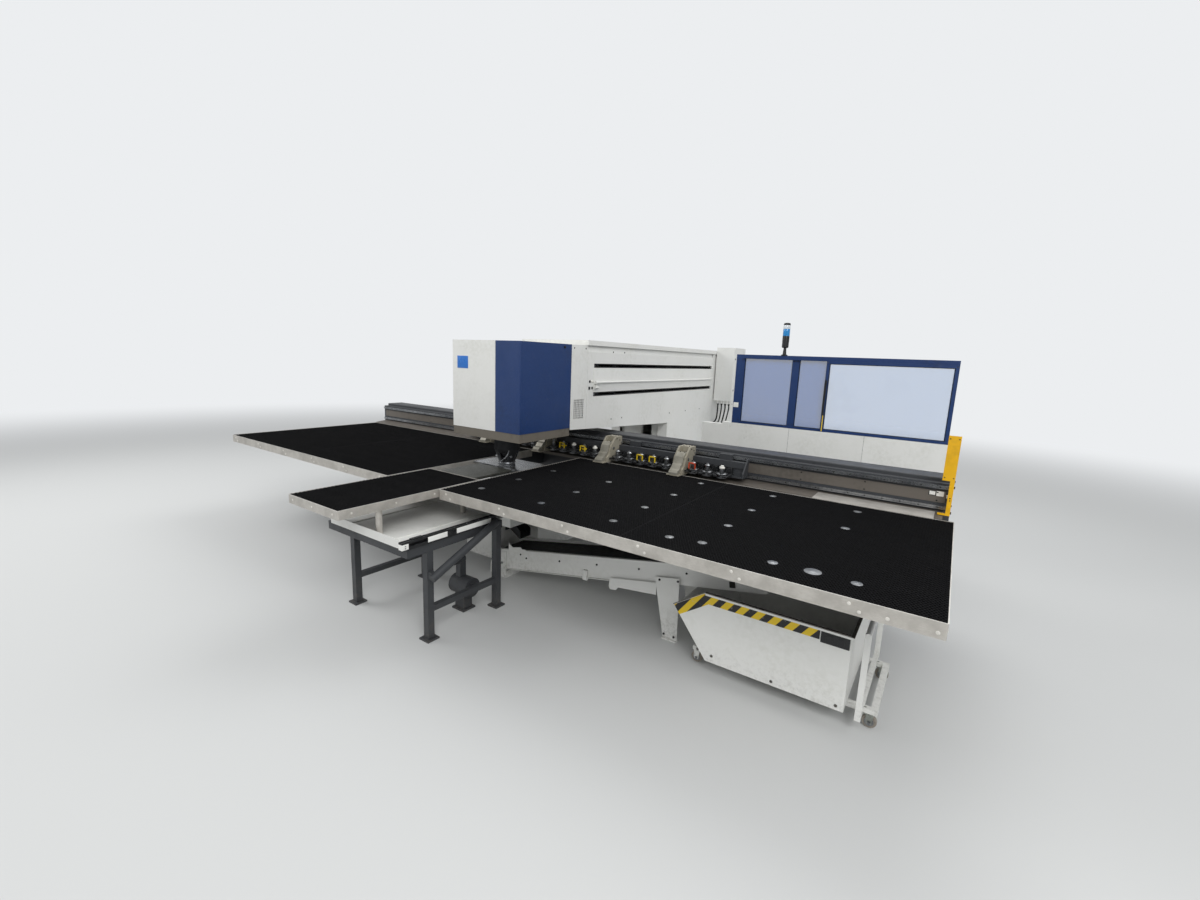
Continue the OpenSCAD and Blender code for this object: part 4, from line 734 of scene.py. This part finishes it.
SIDE_BOLTS = ((0.531, 0.243), (0.891, 0.311), (1.258, 0.379), (1.63, 0.445), (2.005, 0.514))
spread("conveyor_side_bolts", cap_screw(0.0075, 0.006),
       [((x, CONVEYOR_SIDE, z), FRONT) for x, z in ((0.465, 0.26), *SIDE_BOLTS)]
       + [((x, 0.08, z), BACK) for x, z in SIDE_BOLTS], "machine", DARK_HEAD)
spread("conveyor_leg_bolts", cap_screw(0.008, 0.006),
       [((x, y, z), facing) for x, z in ((1.813, 0.423), (1.955, 0.448), (1.872, 0.03), (1.95, 0.03))
        for y, facing in ((-0.322, FRONT), (0.102, BACK))], "machine", DARK_HEAD)
spread("conveyor_end_bolts", hex_head(0.008, 0.01),
       [((0.188, -0.306, 0.119), FRONT), ((0.248, -0.306, 0.131), FRONT)], "machine", STEEL)
clip_x, clip_z = on_belt(0.9, -0.032)
bars("conveyor_clip", "machine", WHITE, "white_paint",
     ((clip_x - 0.02, -0.3225, clip_z - 0.006), (clip_x + 0.02, -0.2995, clip_z + 0.075), 0.001))

# Plates on the conveyor's side, both bare
DARK_FRAME = moulded_plastic("moulded_black_frame", "#26241f", "#3a372f", 0.5)
LABEL_WHITE = powder_coat("plain_enamel_plate_white", "#efefeb", "#e4e4df", "#b5b3ab", 0.35, 0.0, False)
for name, s0, s1, h0, h1, thickness, finish, slot in (
        ("conveyor_plate_dark", 2.081, 2.121, 0.019, 0.061, 0.0012, DARK_FRAME, "black_plastic"),
        ("conveyor_plate_white", 2.135, 2.189, 0.022, 0.06, 0.0008, LABEL_WHITE, "white_paint")):
    bm = bmesh.new()
    pressed(bm, [on_belt(s, h) for s, h in ((s0, h0), (s1, h0), (s1, h1), (s0, h1))],
            (0, CONVEYOR_SIDE - 0.0002 - thickness, 0), (0, CONVEYOR_SIDE + 0.0004, 0))
    piece_of(name, bm, "machine", finish)


# Arm and head covers

COVER_X = 0.415
spread("cover_screws", pan_head(0.0075, 0.003),
       [((COVER_X, y, z), RIGHT) for y, z in ((1.097, 2.01), (1.315, 2.012), (1.104, 1.322), (1.313, 1.322))]
       + [((-COVER_X, y, z), LEFT) for y, z in ((0.8, 2.01), (1.315, 2.012), (0.8, 1.322), (1.313, 1.322))]
       + [((s * COVER_X, y, z), facing) for s, facing in SIDES for y in (2.44, 2.9, 3.35, 4.35, 4.62)
          for z in (0.3, 1.3)]
       + rows(RIGHT, (COVER_X,), (0.44, 0.62), (2.03,))
       + rows(BACK, (-0.39, 0.39), (4.703,), (0.25, 0.95, 1.55, 2.02)), "machine", DARK_HEAD)
piece_of("cover_lock", lathe((0, -0.001), (0.013, -0.001), (0.013, 0.003), (0.01, 0.005), (0.0055, 0.005),
                             (0.0055, 0.002), (0, 0.002), place=(COVER_X, 0.298, 2.032), axis="X"),
         "machine", DARK_HEAD)

# Rails in the two grooves of the arm's right cover, with a block at each end. The rails and the plate behind
# them are black: painted shade inside the grooves.
GROOVES = (1.591, 1.871)
bm = bmesh.new()
for z in GROOVES:
    for lip in (-0.019, 0.011):
        sheet_bar(bm, (0.385, 0.765, z + lip), (0.402, 3.69, z + lip + 0.008), 0.0008)
    sheet_bar(bm, (0.385, 0.765, z - 0.019), (0.388, 3.69, z + 0.019), 0.0006)
piece_of("arm_groove_rails", bm, "machine", BLACK)
spread("arm_groove_bolts", cap_screw(0.006, 0.005),
       rows(RIGHT, (0.388,), [0.86 + 0.31 * k for k in range(9)], GROOVES), "machine", STEEL)
bars("arm_groove_blocks", "machine", DARK_HEAD, "black_steel",
     *[((0.3872, y0, z - 0.0175), (0.404, y1, z + 0.0175), 0.0012) for z in GROOVES
       for y0, y1 in ((0.768, 0.815), (3.645, 3.688))])
spread("arm_groove_block_screws", cap_screw(0.0048, 0.0035),
       rows(RIGHT, (0.404,), (0.782, 0.802), beside(GROOVES, 0.007)), "machine", STEEL)

LABEL_BLUE = powder_coat("plain_enamel_plate_blue", "#2c74c9", "#2768b6", "#8fb2dd", 0.3, 0.0, False)
bars("head_plain_plate", "machine", LABEL_BLUE, "blue_paint",
     ((-0.346, -0.2822, 1.813), (-0.208, -0.2798, 1.921), 0.0008))

# Ports on the arm's side, before the ridge
WHITE_CAP = moulded_plastic("moulded_nylon_white", "#e6e4dc", "#c6c2b6", 0.45)
spread("side_port_plugs", pan_head(0.0135, 0.007), [((COVER_X, 0.698, 1.718), RIGHT)], "machine", PLASTIC)
spread("side_port_caps", pan_head(0.013, 0.009), [((COVER_X, 0.737, 1.718), RIGHT)], "machine", WHITE_CAP)
bars("side_port_plates", "machine", PLASTIC, "black_plastic",
     ((0.4145, 0.68, 1.64), (0.419, 0.706, 1.668), 0.001),
     ((0.4145, 0.728, 1.642), (0.4175, 0.752, 1.666), 0.0008))


# Tool magazine: twenty stations, 133 mm apart between the four sheet clamps

PITCH, TOOL_Y = 0.133, 0.77
CLAMPS = (-1.0, -0.2, 0.6, 1.4)
STATIONS = [CLAMPS[0] - 0.1715 - PITCH * k for k in (1, 0)]
STATIONS += [c + 0.1265 + PITCH * k for c in CLAMPS[:3] for k in range(5)]
STATIONS += [CLAMPS[3] + 0.1265 + PITCH * k for k in range(3)]
ALL = range(len(STATIONS))
GRIPPED = (8, 10, 14, 15, 17)
CAPPED = (9, 11, 3, 5, 19)
SLOTTED = (1, 4, 6, 7, 12, 13, 16, 18)
YELLOW_CAP = moulded_plastic("moulded_nylon_yellow", "#e8c71f", "#c9aa28", 0.42)
ORANGE_CAP = moulded_plastic("moulded_nylon_orange_red", "#cf4a26", "#a8452c", 0.42)
BRIGHT = worked_steel("polished_shank_steel", "#c3c5c7", "#a2a4a6", 0.22, 0.8, (6, 6, 1))
SPRING = worked_steel("oiled_spring_wire", "#6f7072", "#48494b", 0.3, 1.0, (3, 3, 3), 0.9)


def coil_spring(radius, wire, height, turns):
    """Round wire coil spring about Z that stands on 0."""
    bm = bmesh.new()
    count = int(turns * 8)
    points = []
    for k in range(count + 1):
        a = 2 * math.pi * k / 8
        points.append((radius * math.cos(a), radius * math.sin(a), wire + (height - 2 * wire) * k / count))
    hose(bm, points, wire, 6, 2)
    return bm


def at_stations(numbers, z):
    return rows(UP, [STATIONS[n] for n in numbers], (TOOL_Y,), (z,))


for name, shape, places, finish in (
        ("tool_flange_bands", ring(0.0437, 0.045, 0.0, 0.0085), at_stations(ALL, 0.9995), DARK_STEEL),
        ("tool_flange_screws", cap_screw(0.0034, 0.003),
         [place for x in STATIONS for place in upwards(circle((x, TOOL_Y, 1.0122), 0.034, 3, 30))],
         DARK_HEAD),
        ("tool_guide_slots", ring(0.015, 0.03, 0.0, 0.0016, 28), at_stations(SLOTTED, 1.0125), SPRING),
        ("tool_collars", ring(0.0158, 0.024, 0.0, 0.0045), at_stations(ALL, 1.016), DARK_STEEL),
        ("tool_springs", coil_spring(0.0192, 0.0016, 0.03, 4.5), at_stations(ALL, 1.0205), SPRING),
        ("tool_collars_yellow", ring(0.0205, 0.0262, 0.0, 0.011), at_stations(GRIPPED[:2], 1.029),
         YELLOW_CAP),
        ("tool_heads", lathe((0.0218, 0.0), (0.0226, 0.0006), (0.0226, 0.0114), (0.021, 0.0128),
                             (0.0128, 0.0176), (0.0124, 0.0262), (0.0112, 0.0272), (0, 0.0272), sides=28),
         at_stations([n for n in ALL if n not in CAPPED], 1.053), BRIGHT),
        ("tool_caps_white", lathe((0.0222, 0.0), (0.0232, 0.001), (0.0232, 0.0118), (0.0216, 0.0134),
                                  (0.014, 0.018), (0.0136, 0.0262), (0.012, 0.0274), (0, 0.0276),
                                  sides=28), at_stations(CAPPED, 1.0528), WHITE_CAP),
        ("cassette_screws", cap_screw(0.0048, 0.0045),
         rows(UP, beside(STATIONS, 0.04), (0.878,), (1.047,))
         + rows(FRONT, beside(STATIONS, 0.036), (0.858,), (1.018,)), DARK_HEAD),
        ("cassette_plate_screws", cap_screw(0.0038, 0.0012),
         rows(UP, beside(STATIONS, 0.044), (0.836,), (0.997,)), DARK_HEAD)):
    spread(name, shape, places, "x_carriage", finish)

# Square loops of nylon that a gloved hand takes hold of, moulded over the steel grips
for name, numbers, finish in (("tool_grips_yellow", GRIPPED[:4], YELLOW_CAP),
                              ("tool_grips_orange", GRIPPED[4:], ORANGE_CAP)):
    loops = []
    for x in (STATIONS[n] for n in numbers):
        for x0, x1 in ((x - 0.0328, x - 0.0243), (x + 0.0243, x + 0.0328)):
            loops.append(((x0, 0.733, 1.0135), (x1, 0.747, 1.07), 0.0016))
        loops.append(((x - 0.0328, 0.733, 1.0602), (x + 0.0328, 0.747, 1.07), 0.0016))
    bars(name, "x_carriage", finish, "yellow_paint", *loops)

# Sheet clamps: pins with their rings, screws in both cheeks, and the air line to each cylinder
CHEEK_SCREWS = ((0.88, 0.98), (0.88, 1.06), (0.905, 1.15), (0.85, 1.168))
CHEEKS = [(c + s * 0.06, facing) for c in CLAMPS for s, facing in SIDES]
spread("clamp_cheek_screws", cap_screw(0.0055, 0.0055),
       [((x, y, z), facing) for x, facing in CHEEKS for y, z in CHEEK_SCREWS], "x_carriage", DARK_HEAD)
PINS = [((x, 0.8, 1.08), facing) for x, facing in CHEEKS]
spread("clamp_pin_rings", ring(0.0096, 0.0145, -0.001, 0.0018, 24), PINS, "x_carriage", DARK_STEEL)
spread("clamp_pins", pan_head(0.0092, 0.0032), PINS, "x_carriage", BRIGHT)
spread("clamp_top_screws", cap_screw(0.005, 0.0048),
       rows(UP, beside(CLAMPS, 0.028), (0.878, 0.93), (1.186,)), "x_carriage", DARK_HEAD)
spread("jaw_screws", cap_screw(0.005, 0.0045), rows(UP, beside(CLAMPS, 0.02), (0.8,), (1.14,)),
       "jaws", DARK_HEAD)
AIR_Y, AIR_Z = 0.93, 1.128
bm = bmesh.new()
for c in CLAMPS:
    turned(bm, [(0, -0.001), (0.0062, -0.001), (0.0062, 0.004), (0.005, 0.005), (0.005, 0.016),
                (0, 0.016)], (c + 0.06, AIR_Y, AIR_Z), "X", 14)
    turned(bm, [(0, -0.014), (0.0054, -0.014), (0.0054, 0.006), (0, 0.006)],
           (c + 0.072, AIR_Y, AIR_Z), "Z", 14)
piece_of("clamp_air_elbows", bm, "x_carriage", STEEL)
bm = bmesh.new()
for c in CLAMPS:
    hose(bm, [(c + 0.072, AIR_Y, 1.116), (c + 0.0725, 0.931, 1.108), (c + 0.074, 0.932, 1.1005)], 0.004)
piece_of("clamp_air_lines", bm, "x_carriage", PLASTIC)


# Cross beam and end post

spread("beam_cover_screws", pan_head(0.0062, 0.0013),
       rows(FRONT, [-3.35 + 0.4785 * k for k in range(15)], (0.995,), (1.02, 1.08)),
       "y_carriage", DARK_HEAD)
bars("beam_plain_plate_frame", "y_carriage", DARK_FRAME, "black_plastic",
     ((3.293, 0.994, 1.053), (3.341, 0.9952, 1.09), 0.0004))
bars("beam_plain_plates", "y_carriage", LABEL_WHITE, "white_paint",
     ((3.2985, 0.9935, 1.058), (3.3355, 0.9942, 1.085), 0.0003),
     ((3.3425, 0.994, 1.053), (3.388, 0.9952, 1.09), 0.0004),
     ((3.403, 0.9988, 1.045), (3.433, 1.0002, 1.07), 0.0004))
spread("beam_end_screws", cap_screw(0.0095, 0.0085),
       [((s * 3.44, y, z), facing) for s, facing in SIDES for y in (1.022, 1.268)
        for z in (0.745, 0.935, 1.125)], "y_carriage", DARK_HEAD)
spread("guide_rail_screws", cap_screw(0.0052, 0.0012),
       rows(FRONT, [-3.36 + 0.12 * k for k in range(57)], (0.972,), (0.976, 1.124)), "y_carriage", DARK_HEAD)
bars("end_post_strip", "y_carriage", PLASTIC, "black_plastic",
     ((3.3712, 0.904, 1.2), (3.41, 0.915, 1.5), 0.0012))
spread("end_post_screws", pan_head(0.0042, 0.0022),
       rows(FRONT, (3.376, 3.429), (0.9,), (1.212, 1.488))
       + rows(FRONT, (3.4265,), (0.9,), (1.05, 1.068)), "y_carriage", DARK_HEAD)


# Guard

RUBBER = moulded_plastic("extruded_rubber_seal", "#191a1c", "#2f2f30", 0.6)


def window_seals(name, body, depths, openings):
    """Seals of four strips round the inside of each opening (x0, x1, z0, z1), at each depth."""
    width = 0.006
    strips = []
    for x0, x1, z0, z1 in openings:
        for y0, y1 in depths:
            for low, high in (((x0, z0), (x1, z0 + width)), ((x0, z1 - width), (x1, z1)),
                              ((x0, z0 + width), (x0 + width, z1 - width)),
                              ((x1 - width, z0 + width), (x1, z1 - width))):
                strips.append(((low[0], y0, low[1]), (high[0], y1, high[1]), 0.0008))
    bars(name, body, RUBBER, "black_rubber", *strips)


window_seals("guard_pane_seals", "machine", ((2.5085, 2.5138), (2.5192, 2.5245)),
             ((1.31, 1.844, 1.28, 2.01), (1.917, 2.199, 1.28, 2.01)))
window_seals("guard_door_seal", "guard_door", ((2.4745, 2.4798), (2.4852, 2.4905)),
             ((2.231, 3.33, 1.2863, 1.9797),))
# The door's frame runs 4 mm in front of the front screws, so their heads are low.
POST_X = (1.232, 1.285, 1.864, 1.898)
SKIRT_FRONT = 2.46
for name, shape, places, body, finish in (
        ("guard_front_screws", pan_head(0.006, 0.0022), rows(FRONT, POST_X, (2.5,), (1.3, 1.99)),
         "machine", DARK_HEAD),
        ("guard_rear_screws", cap_screw(0.006, 0.0052),
         rows(BACK, (*POST_X, 3.342), (2.54,), (1.262, 1.99)), "machine", DARK_HEAD),
        ("guard_door_screws", cap_screw(0.005, 0.0044),
         rows(FRONT, (2.218, 3.343), (2.466,), (1.262, 1.992)), "guard_door", DARK_HEAD),
        ("guard_foot_anchors", hex_head(0.0085, 0.012),
         rows(UP, [x + dx for x in (0.93, 2.08, 3.3) for dx in (-0.022, 0.082)], (2.446, 2.574),
              (0.01,)), "machine", STEEL),
        ("door_handle_screws", cap_screw(0.0045, 0.0035), rows(FRONT, (2.2165,), (2.436,), (1.459, 1.79)),
         "guard_door", DARK_STEEL),
        ("guard_skirt_screws", pan_head(0.005, 0.0022),
         rows(FRONT, (0.96, 1.36, 1.84, 1.93, 2.59, 2.69, 3.36), (SKIRT_FRONT,), (0.962,)),
         "machine", WHITE)):
    spread(name, shape, places, body, finish)
bars("guard_door_yellow_line", "guard_door", YELLOW_CAP, "yellow_paint",
     ((2.214, 2.4652, 1.26), (2.224, 2.4664, 1.436), 0.0003))
bars("guard_plain_plate", "machine", LABEL_WHITE, "white_paint",
     ((1.215, 2.4988, 1.44), (1.275, 2.5002, 1.496), 0.0004))
bars("guard_skirt_seams", "machine", RUBBER, "black_rubber",
     *[((x - 0.0009, SKIRT_FRONT - 0.0006, 0.942), (x + 0.0009, SKIRT_FRONT + 0.0004, 1.259), 0.0)
       for x in (1.886, 2.64)])

# Signal beacon: dark socket, blue and clear lenses, dark cap
LENS_BLUE = clear_sheet("moulded_polycarbonate_blue", "#1f8fd6", 0.96)
LENS_CLEAR = clear_sheet("moulded_polycarbonate_clear", "#e9eef2", 0.95)
for name, profile, finish, slot in (
        ("beacon_socket", ((0.0342, 2.199), (0.0362, 2.2), (0.0362, 2.258), (0.0352, 2.262),
                           (0.0342, 2.262), (0.0342, 2.199)), PLASTIC, "black_plastic"),
        ("beacon_lens_blue", ((0.0352, 2.262), (0.036, 2.264), (0.036, 2.334), (0.0352, 2.336),
                              (0.0345, 2.336), (0.0345, 2.262), (0.0352, 2.262)), LENS_BLUE, "blue_glass"),
        ("beacon_lens_clear", ((0.0352, 2.3365), (0.036, 2.338), (0.036, 2.376), (0.0352, 2.3775),
                               (0.0352, 2.3365)), LENS_CLEAR, "clear_glass"),
        ("beacon_cap", ((0.0352, 2.3775), (0.0364, 2.3785), (0.0364, 2.386), (0.0318, 2.3992),
                        (0.012, 2.4036), (0, 2.404)), PLASTIC, "black_plastic")):
    piece_of(name, lathe(*profile, place=(1.74, 2.52, 0), sides=32), "machine", finish)
spread("beacon_foot_screws", cap_screw(0.0032, 0.003), upwards(circle((1.74, 2.52, 2.058), 0.027, 4, 45)),
       "machine", STEEL)


# Electrical box on the arm's rear

bars("rear_box_hinges", "machine", DARK_HEAD, "black_steel",
     *[((0.699, 4.2075, z - 0.03), (0.706, 4.225, z + 0.03), 0.002) for z in (1.56, 1.78, 2.0)])
spread("rear_box_locks", ring(0.0, 0.0125, -0.001, 0.0045, 20),
       rows(RIGHT, (0.7,), (3.845,), (1.56, 2.0)), "machine", STEEL)
spread("rear_box_lock_keys", cap_screw(0.0062, 0.0022), rows(RIGHT, (0.7043,), (3.845,), (1.56, 2.0)),
       "machine", DARK_STEEL)
HOSE_Y = 3.87
GLANDS = [(0.4803 + 0.055 * k, 0.019 - 0.002 * (k % 2)) for k in range(4)]
bm = bmesh.new()
for x, radius in GLANDS:
    turned(bm, [(0, 0), (radius * 0.92, 0), (radius * 0.92, -0.01), (radius * 0.7, -0.022), (0, -0.022)],
           (x, HOSE_Y, 1.3555), "Z", 16)
piece_of("rear_box_glands", bm, "machine", PLASTIC)
bm = bmesh.new()
for k, (x, radius) in enumerate(GLANDS):
    end_z = 1.08 - 0.05 * k
    hose(bm, [(x, HOSE_Y, 1.34), (x - 0.002, 3.872, 1.25), (x - 0.012 - 0.02 * k, 3.88, end_z + 0.06),
              (0.438, 3.892, end_z), (0.414, 3.896, end_z - 0.004)], radius * 0.56)
piece_of("rear_box_hoses", bm, "machine", RUBBER)


# Die, and the stripper with the spring caps round its cup and the pipe of the oil mist

spread("die_holder_screws", cap_screw(0.0036, 0.0008), upwards(circle((0, 0, 0.949), 0.06, 6)),
       "die", DARK_HEAD)
spread("die_table_screws", cap_screw(0.0052, 0.0011),
       rows(UP, (-0.29, -0.18, 0.18, 0.29), (-0.115, 0.195), (TABLE_Z,)), "machine", DARK_HEAD)
piece_of("stripper_edge_ring", lathe((0.0712, 0.958), (0.076, 0.959), (0.0768, 0.971), (0.0712, 0.973),
                                     (0.0712, 0.958), sides=48), "stripper", BRIGHT)
spread("stripper_spring_caps", lathe((0, -0.012), (0.0115, -0.012), (0.0115, 0.01), (0.01, 0.012),
                                     (0.0055, 0.012), (0.005, 0.0095), (0, 0.0095), sides=20),
       [(place, (out[0], out[1], -0.38)) for place, out in circle((0, 0, 1.03), 0.094, 4, 65)],
       "stripper", BRIGHT)
spread("stripper_rim_screws", cap_screw(0.0042, 0.0036), circle((0, 0, 0.966), 0.0765, 16),
       "stripper", DARK_HEAD)


def round_axis(deg, radius, z):
    """Place round the punch's axis."""
    return radius * math.cos(math.radians(deg)), radius * math.sin(math.radians(deg)), z


bm = bmesh.new()
hose(bm, [round_axis(-88, 0.082, 0.988), round_axis(-76, 0.092, 0.992), round_axis(-62, 0.103, 1.006),
          round_axis(-50, 0.112, 1.03), round_axis(-42, 0.117, 1.06), round_axis(-38, 0.12, 1.09)],
     0.0045, 10, 5)
piece_of("stripper_oil_pipe", bm, "stripper", BRIGHT)
spread("stripper_pipe_clips", ring(0.003, 0.0075, -0.002, 0.002, 16),
       [(round_axis(-64, 0.1005, 1.004), round_axis(26, 1.0, 0.5))], "stripper", DARK_STEEL)


# Slide rail of the console's parts tray

bars("slide_rail_white_strips", "machine", LABEL_WHITE, "white_paint",
     ((0.6396, -1.375, 0.712), (0.6412, -1.217, 0.7475), 0.0004),
     ((0.6396, -1.137, 0.712), (0.6412, -0.816, 0.7475), 0.0004),
     ((0.6045, -1.5712, 0.708), (0.6418, -1.523, 0.745), 0.0006))
bars("slide_rail_carrier", "machine", PLASTIC, "black_plastic",
     ((0.6398, -1.216, 0.706), (0.6452, -1.178, 0.748), 0.0014),
     ((0.6398, -1.172, 0.712), (0.6428, -1.142, 0.742), 0.0008),
     ((0.609, -1.495, 0.7575), (0.635, -1.41, 0.766), 0.0016),
     ((0.614, -1.39, 0.7575), (0.63, -1.22, 0.7625), 0.001))
spread("slide_rail_screws", cap_screw(0.004, 0.003),
       rows(UP, (0.632,), (-1.15, -1.04, -0.93, -0.82), (0.758,))
       + rows(RIGHT, (0.6418,), (-1.547,), (0.719, 0.733)), "machine", STEEL)
